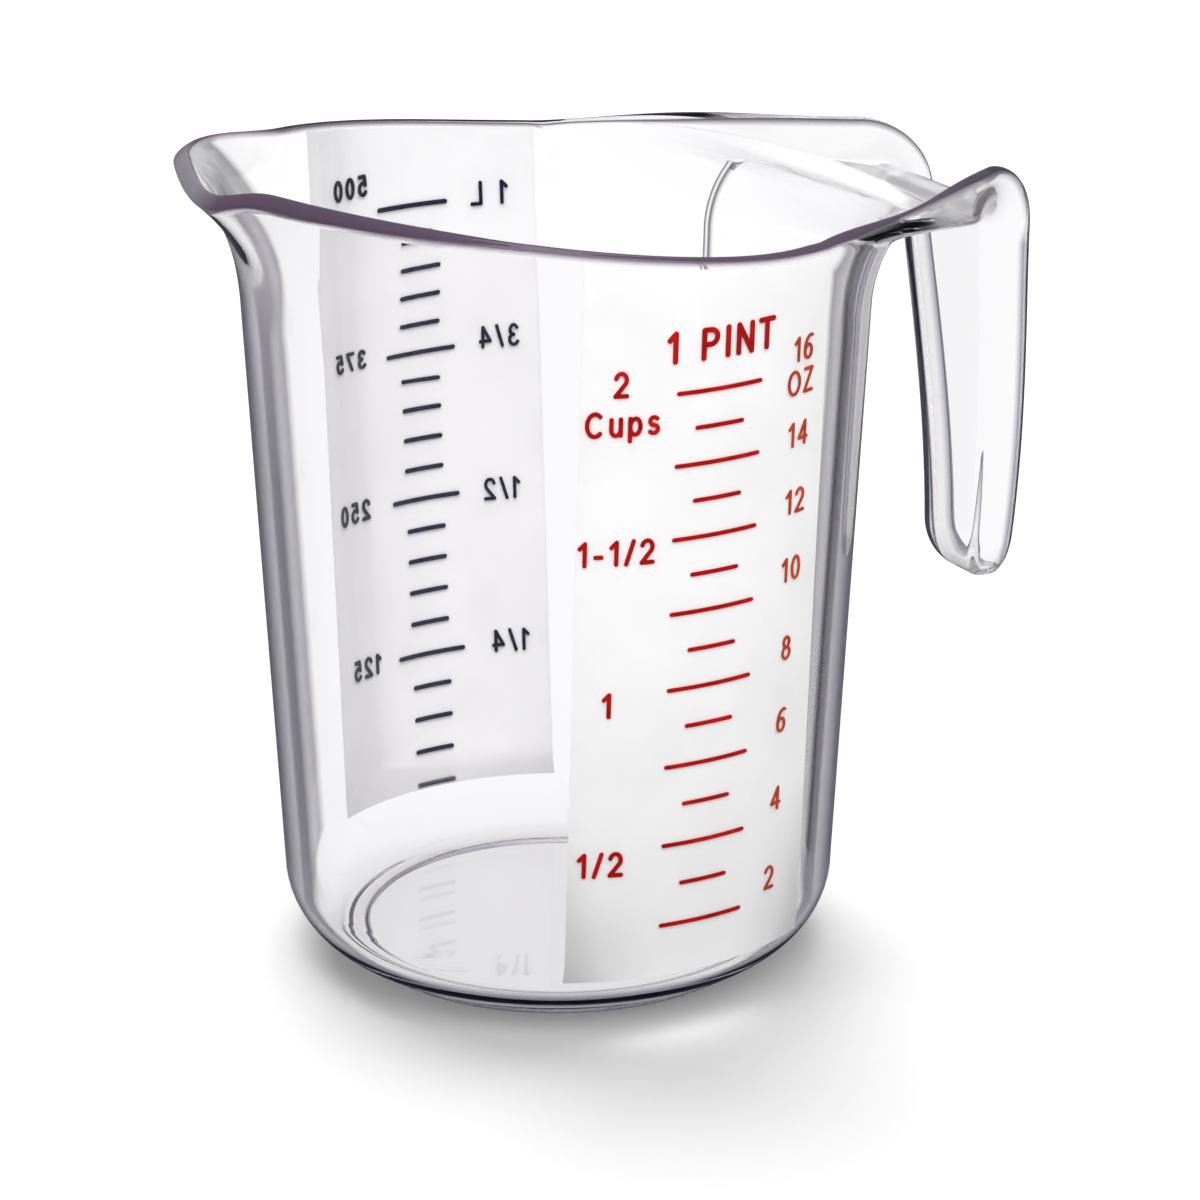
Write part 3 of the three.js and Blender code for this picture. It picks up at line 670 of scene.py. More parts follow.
    def underside(self):
        """Profile of the base from its middle to the wall: recess, standing ring and corner."""
        cup = self.cup
        profile = [(0, cup.foot_recess)]
        flat = cup.foot_inner - cup.foot_draft
        profile += [(flat * row / DISC_ROWS, cup.foot_recess) for row in range(1, DISC_ROWS)]
        start_x = self.wall_radius(self.corner_height) - cup.outer_corner
        first = math.asin((cup.foot_outer - start_x) / cup.outer_corner)
        ring_top = self.corner_height - cup.outer_corner * math.cos(first)
        corners = [
            (flat * RECESS_SHARE, cup.foot_recess), (flat, cup.foot_recess), (cup.foot_inner, 0),
            (cup.foot_outer - cup.foot_draft, 0), (cup.foot_outer, ring_top),
            (cup.foot_outer + FOOT_LEDGE, ring_top),
        ]
        profile += rounded(corners, FOOT_ROUND)
        for row in range(1, CORNER_ROWS):
            turn = mix(first, math.pi / 2, row / CORNER_ROWS)
            z = self.corner_height - cup.outer_corner * math.cos(turn)
            profile.append((start_x + cup.outer_corner * math.sin(turn), z))
        return profile

    def floor(self):
        """Profile of the inside of the base from the wall to the middle of the floor."""
        cup, profile = self.cup, []
        middle = self.wall_radius(self.fillet_height) - cup.wall - cup.inner_corner
        for row in range(CORNER_ROWS + 1):
            turn = math.pi / 2 * row / CORNER_ROWS
            z = self.fillet_height - cup.inner_corner * math.sin(turn)
            profile.append((middle + cup.inner_corner * math.cos(turn), z))
        for row in reversed(range(DISC_ROWS)):
            profile.append((middle * row / DISC_ROWS, self.floor_height))
        return profile

    def on_wall(self, middle, across, z, stand):
        """Point on a layer round the cup, at a distance across from the layer's middle line."""
        radius = self.outside_radius(z)
        return self.axis + polar(radius + stand, middle + across / radius, z)


def rounded(corners, radius, steps=3, leg_share=0.45):
    """A line of corners, each inner one rounded by a radius or by a share of a shorter leg."""
    line = [corners[0]]
    for before, corner, after in zip(corners, corners[1:], corners[2:]):
        before, corner, after = map(np.array, (before, corner, after))
        legs = [end - corner for end in (before, after)]
        cut = min([radius] + [np.linalg.norm(leg) * leg_share for leg in legs])
        start, end = (corner + leg / np.linalg.norm(leg) * cut for leg in legs)
        for step in range(steps + 1):
            share = step / steps
            line.append(tuple(mix(mix(start, corner, share), mix(corner, end, share), share)))
    line.append(corners[-1])
    return line


def select(*pieces):
    """Select only these pieces, with the first one active."""
    bpy.ops.object.select_all(action="DESELECT")
    for piece in pieces:
        piece.select_set(True)
    bpy.context.view_layer.objects.active = pieces[0]


def drape(name, points):
    """Add a grid and lay its vertices on rows of points."""
    points = np.array(points)
    rows, columns = points.shape[:2]
    bpy.ops.object.select_all(action="DESELECT")
    bpy.ops.mesh.primitive_grid_add(
        x_subdivisions=columns - 1, y_subdivisions=rows - 1, size=1, location=(0, 0, 0)
    )
    sheet = bpy.context.object
    if len(sheet.data.vertices) != rows * columns:
        raise RuntimeError(f"{name}: the grid has {len(sheet.data.vertices)} vertices")
    sheet.name = sheet.data.name = name
    sheet.data.vertices.foreach_set("co", points.reshape(-1))
    sheet.data.update()
    return sheet


def join(name, sheets):
    """Make one piece of several sheets."""
    select(*sheets)
    bpy.ops.object.join()
    piece = bpy.context.object
    piece.name = piece.data.name = name
    return piece


def face_outwards(merge=None):
    """Turn the active piece's faces outwards, with points closer than merge made one."""
    bpy.ops.object.mode_set(mode="EDIT")
    bpy.ops.mesh.select_all(action="SELECT")
    if merge is not None:
        bpy.ops.mesh.remove_doubles(threshold=merge)
        bpy.ops.mesh.select_all(action="SELECT")
    bpy.ops.mesh.normals_make_consistent(inside=False)
    bpy.ops.object.mode_set(mode="OBJECT")


def thicken(piece, thickness):
    """Give a sheet its thickness, half on each side."""
    select(piece)
    bpy.ops.object.modifier_add(type="SOLIDIFY")
    layer = piece.modifiers[-1]
    layer.thickness = thickness
    layer.offset = 0
    bpy.ops.object.modifier_apply(modifier=layer.name)
    face_outwards()
    bpy.ops.object.shade_smooth_by_angle(angle=math.radians(SHARP_EDGE))


def settle(piece, slot, material, *nodes):
    """Put a finished piece on the jug's one body in place of its CAD nodes."""
    piece.data.materials.clear()
    piece.data.materials.append(material)
    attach(piece, "root")
    if nodes:
        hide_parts(*nodes)


def new_material(name):
    """An empty material: its node tree, its Principled shader and its output."""
    material = bpy.data.materials.get(name)
    if material is not None:
        return material, None, None, None
    material = bpy.data.materials.new(name)
    material.use_nodes = True
    tree = material.node_tree
    return material, tree, tree.nodes["Principled BSDF"], tree.nodes["Material Output"]


def feed(tree, value, end):
    """Give an input another socket's value, a plain colour or a plain number."""
    if isinstance(value, bpy.types.NodeSocket):
        tree.links.new(value, end)
    else:
        end.default_value = (*value, 1) if isinstance(value, tuple) else value


def wire(tree, node, **values):
    """Feed a node's inputs, named with underscores for spaces."""
    for name, value in values.items():
        feed(tree, value, node.inputs[name.replace("_", " ")])
    return node


def add(tree, kind, **values):
    """Add a node and feed its inputs."""
    return wire(tree, tree.nodes.new(kind), **values)


def noise(tree, scale, detail, roughness=0.5):
    """Noise that stays with the piece."""
    place = tree.nodes.new("ShaderNodeTexCoord").outputs["Object"]
    grain = add(
        tree, "ShaderNodeTexNoise", Vector=place, Scale=scale, Detail=detail, Roughness=roughness
    )
    return grain.outputs["Fac"]


def ramp(tree, value, stops):
    """A ramp from value, through stops of place and colour."""
    node = tree.nodes.new("ShaderNodeValToRGB")
    line = node.color_ramp
    while len(line.elements) < len(stops):
        line.elements.new(0.5)
    for element, (place, tone) in zip(line.elements, stops):
        element.position = place
        element.color = (*tone, 1)
    return wire(tree, node, Fac=value).outputs["Color"]


def grey(level):
    return (level, level, level)


def grey_ramp(tree, value, stops):
    """A ramp from value, through stops of place and level of grey."""
    return ramp(tree, value, [(place, grey(level)) for place, level in stops])


def compute(tree, operation, *values):
    """A sum on sockets and plain numbers."""
    node = tree.nodes.new("ShaderNodeMath")
    node.operation = operation
    for end, value in zip(node.inputs, values):
        feed(tree, value, end)
    return node.outputs[0]


def multiply(tree, first, second):
    """Two shares taken together."""
    return compute(tree, "MULTIPLY", first, second)


def span(tree, value, start, end):
    """A share that runs from nothing at start to one at end."""
    share = add(
        tree, "ShaderNodeMapRange", Value=value, From_Min=start, From_Max=end, To_Min=0, To_Max=1
    )
    return share.outputs["Result"]


def parts_of(tree, kind, output):
    """The X, Y and Z of a vector that a node gives."""
    vector = tree.nodes.new(kind).outputs[output]
    return add(tree, "ShaderNodeSeparateXYZ", Vector=vector).outputs


def attribute(tree, name):
    node = tree.nodes.new("ShaderNodeAttribute")
    node.attribute_name = name
    return node.outputs["Fac"]


def blend(tree, share, first, second):
    """Mix two colours, each a plain colour or a socket."""
    both = tree.nodes.new("ShaderNodeMix")
    both.data_type = "RGBA"
    ends = [socket for socket in both.inputs if socket.enabled]
    for end, value in zip(ends, (share, first, second)):
        feed(tree, value, end)
    return next(socket for socket in both.outputs if socket.enabled)


def cover(tree, share, under, over):
    """One shader over another, by a share."""
    both = tree.nodes.new("ShaderNodeMixShader")
    for end, value in zip(both.inputs, (share, under, over)):
        feed(tree, value, end)
    return both.outputs["Shader"]


def shadow_side(tree, shader, shade, out):
    """Let lamps shine through a surface in the colour of its shade."""
    clear = add(tree, "ShaderNodeBsdfTransparent", Color=shade)
    lamp = tree.nodes.new("ShaderNodeLightPath").outputs["Is Shadow Ray"]
    wire(tree, out, Surface=cover(tree, lamp, shader, clear.outputs["BSDF"]))


class SkinPlace:
    """What the plastic's shader knows of the place that it shades"""

    def __init__(self, tree):
        self.place = parts_of(tree, "ShaderNodeTexCoord", "Object")
        self.normal = parts_of(tree, "ShaderNodeNewGeometry", "Normal")
        self.level = compute(tree, "ABSOLUTE", self.normal["Z"])
        self.facing = add(tree, "ShaderNodeLayerWeight", Blend=0.5).outputs["Facing"]
        leaving = tree.nodes.new("ShaderNodeNewGeometry").outputs["Backfacing"]
        self.entering = span(tree, leaving, 1, 0)
        # Masks of the painted rim and corner shade, only where rays enter the plastic
        self.rim = multiply(tree, attribute(tree, "rim"), self.entering)
        self.corner = multiply(tree, attribute(tree, "corner"), self.entering)


def wall_tone(tree, at, colours, form):
    """Painted shade of the wall, the handle and the foot, a dark tint by how steeply they are seen.
    """
    plain, edge = np.array(colours.plastic), np.array(colours.edge)
    wall, handle = (
        ramp(tree, at.facing, [(step, tuple(mix(plain, edge, share))) for step, share in bands])
        for bands in (WALL_SHADE_BANDS, HANDLE_SHADE_BANDS)
    )
    beside = span(tree, at.place["X"], *(form.root * share for share in HANDLE_SHADE))
    tone = blend(tree, beside, wall, handle)
    spout = span(tree, at.place["X"], *(form.lip + off for off in SPOUT_PLACES))
    tone = blend(tree, spout, tone, tuple(plain))
    tone = blend(tree, span(tree, at.level, *LEVEL_SLOPES), tone, tuple(plain))
    # Painted shade: a dark band low on the foot's corner, where it faces down and is seen steeply
    low = span(tree, at.place["Z"], *FOOT_SHADE_HEIGHTS)
    foot = multiply(tree, low, span(tree, at.normal["Z"], *FOOT_SHADE_SLOPES))
    foot = multiply(tree, foot, grey_ramp(tree, at.facing, FOOT_SHADE_BANDS))
    return blend(tree, multiply(tree, foot, at.entering), tone, tuple(colours.foot))


def marked_tone(tree, at, colours, form, tone):
    """The tone with the painted shade of the thin edges, ribs, corner and rim that are stored on
    the skin.
    """
    # Painted shade: dark lines on the hanging edges, the ribs' sides and the channel's further
    # corner
    tone = blend(tree, attribute(tree, "thin_edge_shade"), tone, tuple(colours.thin))
    tone = blend(tree, attribute(tree, "rib"), tone, tuple(colours.rib))
    tone = blend(tree, at.corner, tone, tuple(colours.corner))
    # Painted shade: the rim band, darker at the crest and lighter beyond the lip
    crest = span(tree, at.place["X"], *CREST_PLACES)
    rim = blend(tree, crest, tuple(colours.rim), tuple(colours.crest))
    beyond = span(tree, at.place["X"], form.lip, form.lip - LIP_SOFTNESS)
    beyond = multiply(tree, beyond, span(tree, at.place["Y"], *LIP_SIDES))
    rim = blend(tree, beyond, rim, tuple(colours.lip))
    return blend(tree, at.rim, tone, rim)


def clearness(tree, at, form):
    """How much light passes: a little less in the handle, and least in the rim and corner that
    carry painted shade.
    """
    milky = blend(
        tree, span(tree, at.level, *MILKY_SLOPES), grey(UPRIGHT_CLEARNESS), grey(LEVEL_CLEARNESS)
    )
    beside = span(tree, at.place["X"], *(form.root * share for share in HANDLE_MILK))
    clear = blend(tree, beside, grey(1), milky)
    painted_shade = compute(tree, "MAXIMUM", at.rim, at.corner)
    return blend(tree, painted_shade, clear, grey(RIM_CLEARNESS))


def clear_plastic(colours, form):
    """Clear moulded plastic: painted shade where seen edge on and along its rim and lines, tinted
    where thick, faintly wavy.
    """
    material, tree, skin, out = new_material("moulded_clear_plastic")
    if tree is None:
        return material
    at = SkinPlace(tree)
    waves = add(tree, "ShaderNodeBump", Strength=0.03, Distance=0.0006, Height=noise(tree, 26, 1))
    wire(
        tree, skin, IOR=1.49, Specular_Tint=grey(0.3), Normal=waves.outputs["Normal"],
        Base_Color=marked_tone(tree, at, colours, form, wall_tone(tree, at, colours, form)),
        Transmission_Weight=clearness(tree, at, form),
        Roughness=grey_ramp(tree, noise(tree, 60, 3), ((0.35, 0), (0.75, 0.02))),
    )
    inside = add(tree, "ShaderNodeVolumeAbsorption", Density=22, Color=tuple(colours.depth))
    wire(tree, out, Volume=inside.outputs["Volume"])
    shadow = grey_ramp(tree, span(tree, at.place["Z"], 0, SHADOW_REACH), SHADOW_STEPS)
    behind = span(tree, compute(tree, "ABSOLUTE", at.place["Y"]), *BEHIND_PANELS)
    shade = blend(tree, behind, shadow, grey(BEHIND_LIGHT))
    shadow_side(tree, skin.outputs["BSDF"], shade, out)
    return material


def panel_print(colours):
    """Translucent white print with a faint mottle."""
    material, tree, skin, out = new_material("white_panel_film")
    if tree is None:
        return material
    base = tuple(colours.panel)
    dull = tuple(part * 0.965 for part in base)
    tone = ramp(tree, noise(tree, 90, 4, 0.6), [(0.3, dull), (0.7, base)])
    rough = grey_ramp(tree, noise(tree, 400, 2), ((0.3, 0.38), (0.7, 0.52)))
    wire(tree, skin, Base_Color=tone, Roughness=rough)
    glow = add(tree, "ShaderNodeBsdfTranslucent", Color=tone)
    film = cover(tree, FILM_GLOW, skin.outputs["BSDF"], glow.outputs["BSDF"])
    height = parts_of(tree, "ShaderNodeTexCoord", "Object")["Z"]
    shadow = grey_ramp(tree, span(tree, height, 0, SHADOW_REACH), FILM_SHADOW_STEPS)
    leaving = tree.nodes.new("ShaderNodeNewGeometry").outputs["Backfacing"]
    shade = blend(tree, leaving, shadow, grey(FILM_BACK_LIGHT))
    shadow_side(tree, film, shade, out)
    return material


def ink(name, tone):
    """Screen-printed ink, a little uneven in strength."""
    material, tree, skin, _ = new_material(name)
    if tree is None:
        return material
    base = tuple(tone)
    thin = tuple(min(1, part * 1.35 + 0.003) for part in base)
    thick = tuple(part * 0.82 for part in base)
    shade = ramp(tree, noise(tree, 260, 3, 0.6), [(0.3, thick), (0.5, base), (0.72, thin)])
    rough = grey_ramp(tree, noise(tree, 900, 2), ((0.3, 0.35), (0.7, 0.55)))
    wire(tree, skin, Base_Color=shade, Roughness=rough, Specular_IOR_Level=0.06)
    return material


def floor_paper(colours):
    """Pale matt paper that rays through the plastic see as white, and reflections as dark."""
    material, tree, skin, out = new_material("floor_paper")
    if tree is None:
        return material
    base = tuple(colours.ground)
    pale = tuple(min(1, part * 1.015) for part in base)
    tone = ramp(tree, noise(tree, 300, 2), [(0.3, base), (0.7, pale)])
    wire(tree, skin, Base_Color=tone, Roughness=0.9, Specular_IOR_Level=0.1)
    rays = tree.nodes.new("ShaderNodeLightPath").outputs
    shown = ramp(tree, rays["Is Reflection Ray"], [(0, WHITE), (1, FLOOR_MIRRORED)])
    shine = add(tree, "ShaderNodeEmission", Color=shown, Strength=1)
    seen = 0
    for ray, share in FLOOR_SHARES:
        seen = compute(tree, "MULTIPLY_ADD", rays[ray], share, seen)
    unlit = compute(tree, "LESS_THAN", rays["Diffuse Depth"], 0.5)
    seen = multiply(tree, seen, unlit)
    paper = cover(tree, seen, skin.outputs["BSDF"], shine.outputs["Emission"])
    wire(tree, out, Surface=paper)
    return material


def closed(sheet):
    """A sheet whose last column is its first again."""
    return np.concatenate((sheet, sheet[:, :1]), axis=1)


def nearness(piece, line, full, none):
    """How close each point of a skin lies to a line of points, from one down to nothing."""
    tree = KDTree(len(line))
    for index, place in enumerate(line):
        tree.insert(place, index)
    tree.balance()
    gaps = [tree.find(vertex.co)[2] for vertex in piece.data.vertices]
    return [smooth((none - gap) / (none - full)) for gap in gaps]


def mark_edges(piece, form, edge, edge_in, ribs):
    """Store where the skin takes painted shade: rim, a thin edge, a side of a rib or the channel's
    corner.
    """
    lines = (*edge, *edge_in)
    top = (form.cup.rim_thickness * share for share in RIM_TOP)
    near_lines = nearness(piece, lines, *RIM_SHADE_LINE)
    near_tops = nearness(piece, (edge + edge_in) / 2, *top)
    rim = []
    # The painted rim shade covers the near side and the spout's lip, and fades out where the handle
    # starts to hang
    for vertex, line, over in zip(piece.data.vertices, near_lines, near_tops):
        x, y, z = vertex.co
        near = smooth((NEAR_SIDE - y) / NEAR_SIDE / 2)
        near = max(near, smooth((-form.cup.rim_radius - x) / LIP_SOFTNESS))
        up = smooth((z - form.drop_z) / form.handle.bend_radius * 2)
        rim.append(max(line, over * near) * up)
    hanging = [point for point in lines if point[2] < form.drop_z]
    shares = {
        "rim": rim,
        "thin_edge_shade": nearness(piece, hanging, *THIN_EDGE_SHADE),
        "rib": nearness(piece, ribs, *RIB_FLANK_SHADE),
        "corner": nearness(piece, form.web_corner(), *WEB_CORNER_SHADE),
    }
    for name, values in shares.items():
        piece.data.attributes.new(name, "FLOAT", "POINT").data.foreach_set("value", values)


def round_edge(edge, edge_in, out, height):
    """Rows of a flat half ellipse over the free edge, from the outer sheet to the inner."""
    along = np.roll(edge[:-1], -1, axis=0) - np.roll(edge[:-1], 1, axis=0)
    away = -np.cross(along, out[:-1])
    away /= np.linalg.norm(away, axis=1, keepdims=True)
    away = np.concatenate((away, away[:1]))
    middle, rows = (edge + edge_in) / 2, []
    for row in range(RIM_ROWS + 1):
        turn = math.pi * row / RIM_ROWS
        rows.append(middle + (edge - middle) * math.cos(turn) + away * height * math.sin(turn))
    return rows


class JUG_OT_moulding(bpy.types.Operator):
    """Mould the clear cup with its spout, ribs and hanging handle"""

    bl_idname = "jug.moulding"
    bl_label = "Clear moulding"

    def execute(self, context):
        form = JugForm(context.scene)
        wall, handle, wall_out, handle_out = form.outside()
        wall_in, handle_in = form.inside(wall, handle, wall_out, handle_out)
        last = form.sector + 1
        edge, edge_in = form.free_edge(wall, handle), form.free_edge(wall_in, handle_in)
        out = form.free_edge(wall_out, handle_out)
        base = np.concatenate((form.rings(form.underside()), closed(wall)[:1]))
        floor = np.concatenate((closed(wall_in)[:1], form.rings(form.floor())))
        piece = join("clear_moulding", [
            drape("wall", closed(wall)), drape("wall_inside", closed(wall_in)),
            drape("handle", np.concatenate((wall[-1:, :last], handle))),
            drape("handle_inside", np.concatenate((wall_in[-1:, :last], handle_in))),
            drape("rim", round_edge(edge, edge_in, out, form.cup.rim_round)),
            drape("base", base), drape("floor", floor),
        ])
        face_outwards(merge=1e-6)
        bpy.ops.object.shade_smooth()
        mark_edges(piece, form, edge, edge_in, form.rib_flanks(wall_in, handle_in))
        piece.data.transform(Matrix.Translation(form.axis))
        finish = clear_plastic(context.scene.jug_colours, form)
        settle(piece, "clear_plastic", finish, "moulded_jug")
        return {"FINISHED"}


class JUG_OT_panels(bpy.types.Operator):
    """Lay the two translucent white panels on the wall"""

    bl_idname = "jug.panels"
    bl_label = "Scale panels"

    def execute(self, context):
        form, scale = JugForm(context.scene), context.scene.jug_scale
        finish = panel_print(context.scene.jug_colours)
        for side, middle, half in (
            ("front", scale.front_angle, scale.front_half_width),
            ("rear", scale.rear_angle, scale.rear_half_width),
        ):
            points = []
            for row in range(PANEL_ROWS + 1):
                line = []
                for across in np.linspace(-half, half, PANEL_COLUMNS + 1):
                    turn = middle + across / form.cup.rim_radius
                    top = form.rim_height(turn) - scale.rim_gap
                    z = mix(scale.bottom, top, row / PANEL_ROWS)
                    line.append(form.on_wall(middle, across, z, scale.panel_stand))
                points.append(line)
            panel = drape(f"{side}_panel", points)
            thicken(panel, scale.panel_thickness)
            settle(panel, "panel_print", finish, f"{side}_scale_panel")
        return {"FINISHED"}


def print_marks(scene, kind, middle, long, short, width, slot, finish):
    """Bars with round ends, each at its node's height and as long as its node is wide."""
    form, scale = JugForm(scene), scene.jug_scale
    half = width / 2
    for node in sorted(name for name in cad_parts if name.startswith(kind)):
        low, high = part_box(node)
        z = (low.z + high.z) / 2
        reach = (long if high.x - low.x > (long + short) / 2 else short) / 2
        points = []
        for side in MARK_SIDES:
            line = []
            for column in range(MARK_COLUMNS + 1):
                across = reach * math.sin(math.pi * (column / MARK_COLUMNS - 0.5))
                beyond = max(0, abs(across) - reach + half)
                tall = math.sqrt(max(0, half**2 - beyond**2)) + half * MARK_BLUNTNESS
                line.append(form.on_wall(middle, across, z + side * tall, scale.ink_stand))
            points.append(line)
        mark = drape(f"{node}_print", points)
        thicken(mark, scale.ink_thickness)
        settle(mark, slot, finish, node)


class JUG_OT_red_marks(bpy.types.Operator):
    """Print the red ounce marks on the front panel"""

    bl_idname = "jug.red_marks"
    bl_label = "Red ounce marks"

    def execute(self, context):
        scale = context.scene.jug_scale
        finish = ink("red_scale_ink", context.scene.jug_colours.red)
        print_marks(
            context.scene, "ounce_mark", scale.front_angle, scale.front_long, scale.front_short,
            scale.front_mark, "red_ink", finish,
        )
        return {"FINISHED"}


class JUG_OT_blue_marks(bpy.types.Operator):
    """Print the blue millilitre marks on the rear panel"""

    bl_idname = "jug.blue_marks"
    bl_label = "Blue millilitre marks"

    def execute(self, context):
        scale = context.scene.jug_scale
        finish = ink("blue_scale_ink", context.scene.jug_colours.blue)
        print_marks(
            context.scene, "millilitre_mark", scale.rear_angle, scale.rear_long, scale.rear_short,
            scale.rear_mark, "blue_ink", finish,
        )
        return {"FINISHED"}


def stroke_line(stroke, reach):
    """Points along a stroke of a character whose capitals are reach high."""
    if len(stroke) == 4:
        start, end = np.array(stroke[:2]) * reach, np.array(stroke[2:]) * reach
        steps = math.ceil(np.linalg.norm(end - start) / STROKE_STEP)
        return np.linspace(start, end, steps + 1)
    x, y, wide, tall, start, sweep = stroke
    length = math.radians(abs(sweep)) * max(wide, tall) * reach
    steps = math.ceil(length / STROKE_STEP * ARC_FINENESS)
    turns = np.radians(np.linspace(start, start + sweep, steps + 1))
    return np.stack((x + wide * np.cos(turns), y + tall * np.sin(turns)), axis=1) * reach


def ribbon(line, half):
    """A flat stroke of even width with round ends, as rows of points across it."""
    ways = np.gradient(line, axis=0)
    ways /= np.linalg.norm(ways, axis=1, keepdims=True)
    places, widths = list(line), [half] * len(line)
    for tip in np.radians(ROUND_END):
        beyond = half * math.sin(tip)
        places = [line[0] - ways[0] * beyond, *places, line[-1] + ways[-1] * beyond]
        widths = [half * math.cos(tip), *widths, half * math.cos(tip)]
    ends = len(ROUND_END)
    ways = np.concatenate(([ways[0]] * ends, ways, [ways[-1]] * ends))
    sides = np.stack((-ways[:, 1], ways[:, 0]), axis=1) * np.array(widths)[:, None]
    return np.stack([np.array(places) + sides * share for share in (-1, 0, 1)], axis=1)


def letters(words, tall, weight):
    """The strokes of words about the middle of their line, each as rows of points across it."""
    stroke_width = weight * tall
    reach = tall - stroke_width
    spacing = stroke_width + LETTER_GAP * tall
    widths = [STROKES[character][0] * reach + spacing for character in words]
    left, strokes = (spacing - sum(widths)) / 2, []
    for character, wide in zip(words, widths):
        for stroke in STROKES[character][1:]:
            rows = ribbon(stroke_line(stroke, reach), stroke_width / 2)
            strokes.append(rows + (left, -reach / 2))
        left += wide
    return strokes


def print_labels(scene, kind, labels, middle, weight, slot, finish):
    """Draw labels stroke by stroke and bend them round the wall."""
    form, scale = JugForm(scene), scene.jug_scale
    for name, words, across, z, tall in labels:
        sheets = []
        for rows in letters(words, tall, weight):
            stand = scale.ink_stand + STROKE_LIFT * len(sheets)
            sheets.append(drape("stroke", [
                [form.on_wall(middle, across + x, z + y, stand) for x, y in row] for row in rows
            ]))
        label = join(f"{kind}_{name}", sheets)
        thicken(label, scale.ink_thickness)
        settle(label, slot, finish)


def numerals(places, tall):
    """Labels of one height that are named by their text."""
    return [(text, text, across, z, tall) for text, across, z in places]


class JUG_OT_red_labels(bpy.types.Operator):
    """Print the words and numerals of the red scale"""

    bl_idname = "jug.red_labels"
    bl_label = "Red words and numerals"

    def execute(self, context):
        scene, middle = context.scene, context.scene.jug_scale.front_angle
        red = ink("red_scale_ink", scene.jug_colours.red)
        rust = ink("rust_scale_ink", scene.jug_colours.rust)
        ounces = numerals(OUNCES, OUNCE_HEIGHT)
        print_labels(scene, "red", RED_WORDS, middle, WORD_WEIGHT, "red_ink", red)
        print_labels(scene, "ounces", ounces, middle, OUNCE_WEIGHT, "red_ink", rust)
        return {"FINISHED"}


class JUG_OT_blue_labels(bpy.types.Operator):
    """Print the numerals of the blue scale"""

    bl_idname = "jug.blue_labels"
    bl_label = "Blue numerals"

    def execute(self, context):
        scene, middle = context.scene, context.scene.jug_scale.rear_angle
        blue = ink("blue_scale_ink", scene.jug_colours.blue)
        black = ink("black_scale_ink", scene.jug_colours.black)
        amounts = numerals(MILLILITRES, MILLILITRE_HEIGHT)
        print_labels(scene, "blue", BLUE_FRACTIONS, middle, FRACTION_WEIGHT, "blue_ink", blue)
        print_labels(scene, "millilitres", amounts, middle, MILLILITRE_WEIGHT, "blue_ink", black)
        return {"FINISHED"}


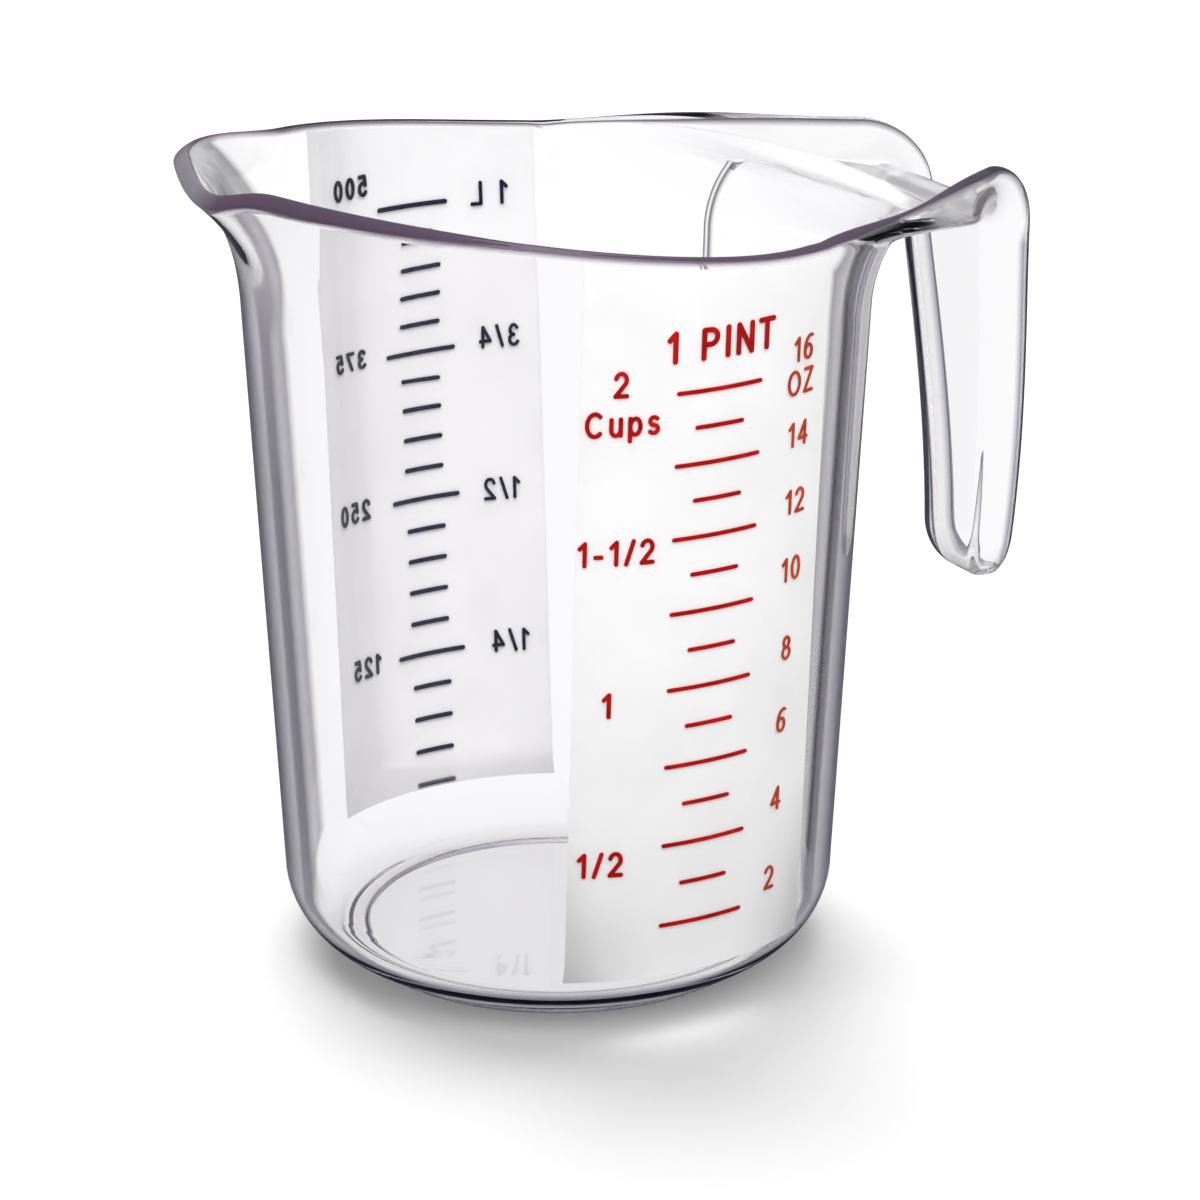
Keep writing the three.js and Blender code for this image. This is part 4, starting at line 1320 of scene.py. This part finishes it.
class JUG_OT_studio(bpy.types.Operator):
    """Set the floor, the soft light, the pale surround and the camera"""

    bl_idname = "jug.studio"
    bl_label = "Studio"

    def execute(self, context):
        scene = context.scene
        scene.view_settings.view_transform = "Standard"
        self.set_floor(scene.jug_colours)
        self.set_light()
        self.set_surround(scene)
        self.set_camera(scene)
        return {"FINISHED"}

    def set_floor(self, colours):
        bpy.ops.object.select_all(action="DESELECT")
        bpy.ops.mesh.primitive_plane_add(size=FLOOR_SIZE, location=(0, 0, 0))
        floor = bpy.context.object
        floor.name = "floor"
        floor.data.materials.append(floor_paper(colours))

    def set_light(self):
        for name, strength, spread, raised, turned in LAMPS:
            bpy.ops.object.light_add(type="SUN", location=(0, 0, 1))
            lamp = bpy.context.object
            lamp.name = lamp.data.name = name
            lamp.data.energy = strength
            lamp.data.angle = math.radians(spread)
            lamp.rotation_euler = (math.radians(90 - raised), 0, math.radians(turned))
            lamp.visible_glossy = lamp.visible_transmission = False

    def set_surround(self, scene):
        scene.world = bpy.data.worlds.new("surround")
        scene.world.use_nodes = True
        tree = scene.world.node_tree
        soft, out = tree.nodes["Background"], tree.nodes["World Output"]
        wire(tree, soft, Color=WHITE, Strength=SOFT_LIGHT)
        height = parts_of(tree, "ShaderNodeTexCoord", "Generated")["Z"]
        mirrored, through, plain = (
            add(tree, "ShaderNodeBackground", Color=tone, Strength=1)
            for tone in (
                grey_ramp(tree, height, MIRRORED_SKY), ramp(tree, height, THROUGH_SKY), WHITE,
            )
        )
        rays = tree.nodes.new("ShaderNodeLightPath").outputs
        lit = compute(tree, "GREATER_THAN", rays["Diffuse Depth"], 0.5)
        surface = soft.outputs["Background"]
        for ray, shown in (
            (rays["Is Glossy Ray"], mirrored), (rays["Is Transmission Ray"], through),
            (lit, soft), (rays["Is Camera Ray"], plain),
        ):
            surface = cover(tree, ray, surface, shown.outputs["Background"])
        wire(tree, out, Surface=surface)

    def set_camera(self, scene):
        x, y, z = CAMERA_PLACE
        bpy.ops.object.camera_add(
            location=(JugForm(scene).axis[0] + x, y, z),
            rotation=(math.radians(90 - CAMERA_TILT), 0, math.radians(CAMERA_TURN)),
        )
        camera = bpy.context.object
        camera.name = "camera"
        camera.data.sensor_width = CAMERA_SENSOR
        camera.data.lens = CAMERA_LENS
        camera.data.clip_start = 0.01
        scene.camera = camera


class JUG_PT_pieces(bpy.types.Panel):
    """The jug's pieces and their sizes"""

    bl_idname = "JUG_PT_pieces"
    bl_label = "Measuring jug"
    bl_space_type = "VIEW_3D"
    bl_region_type = "UI"
    bl_category = "Jug"

    def draw(self, context):
        for operator in OPERATORS:
            self.layout.operator(operator.bl_idname)
        for group in GROUPS:
            sizes = getattr(context.scene, group)
            box = self.layout.box()
            for name in sizes.__annotations__:
                box.prop(sizes, name)


OPERATORS = (
    JUG_OT_studio, JUG_OT_moulding, JUG_OT_panels, JUG_OT_red_marks, JUG_OT_blue_marks,
    JUG_OT_red_labels, JUG_OT_blue_labels,
)
GROUPS = {
    "jug_cup": JugCupSizes,
    "jug_handle": JugHandleSizes,
    "jug_scale": JugScaleSizes,
    "jug_colours": JugColours,
}


def register():
    for group in GROUPS.values():
        bpy.utils.register_class(group)
    for kind in (*OPERATORS, JUG_PT_pieces):
        bpy.utils.register_class(kind)
    for name, group in GROUPS.items():
        setattr(bpy.types.Scene, name, PointerProperty(type=group))


def unregister():
    for name in GROUPS:
        delattr(bpy.types.Scene, name)
    for kind in (JUG_PT_pieces, *reversed(OPERATORS)):
        bpy.utils.unregister_class(kind)
    for group in reversed(GROUPS.values()):
        bpy.utils.unregister_class(group)


def main():
    register()
    bpy.ops.jug.studio()
    bpy.ops.jug.moulding()
    bpy.ops.jug.panels()
    bpy.ops.jug.red_marks()
    bpy.ops.jug.blue_marks()
    bpy.ops.jug.red_labels()
    bpy.ops.jug.blue_labels()


if __name__ == "__main__":
    main()
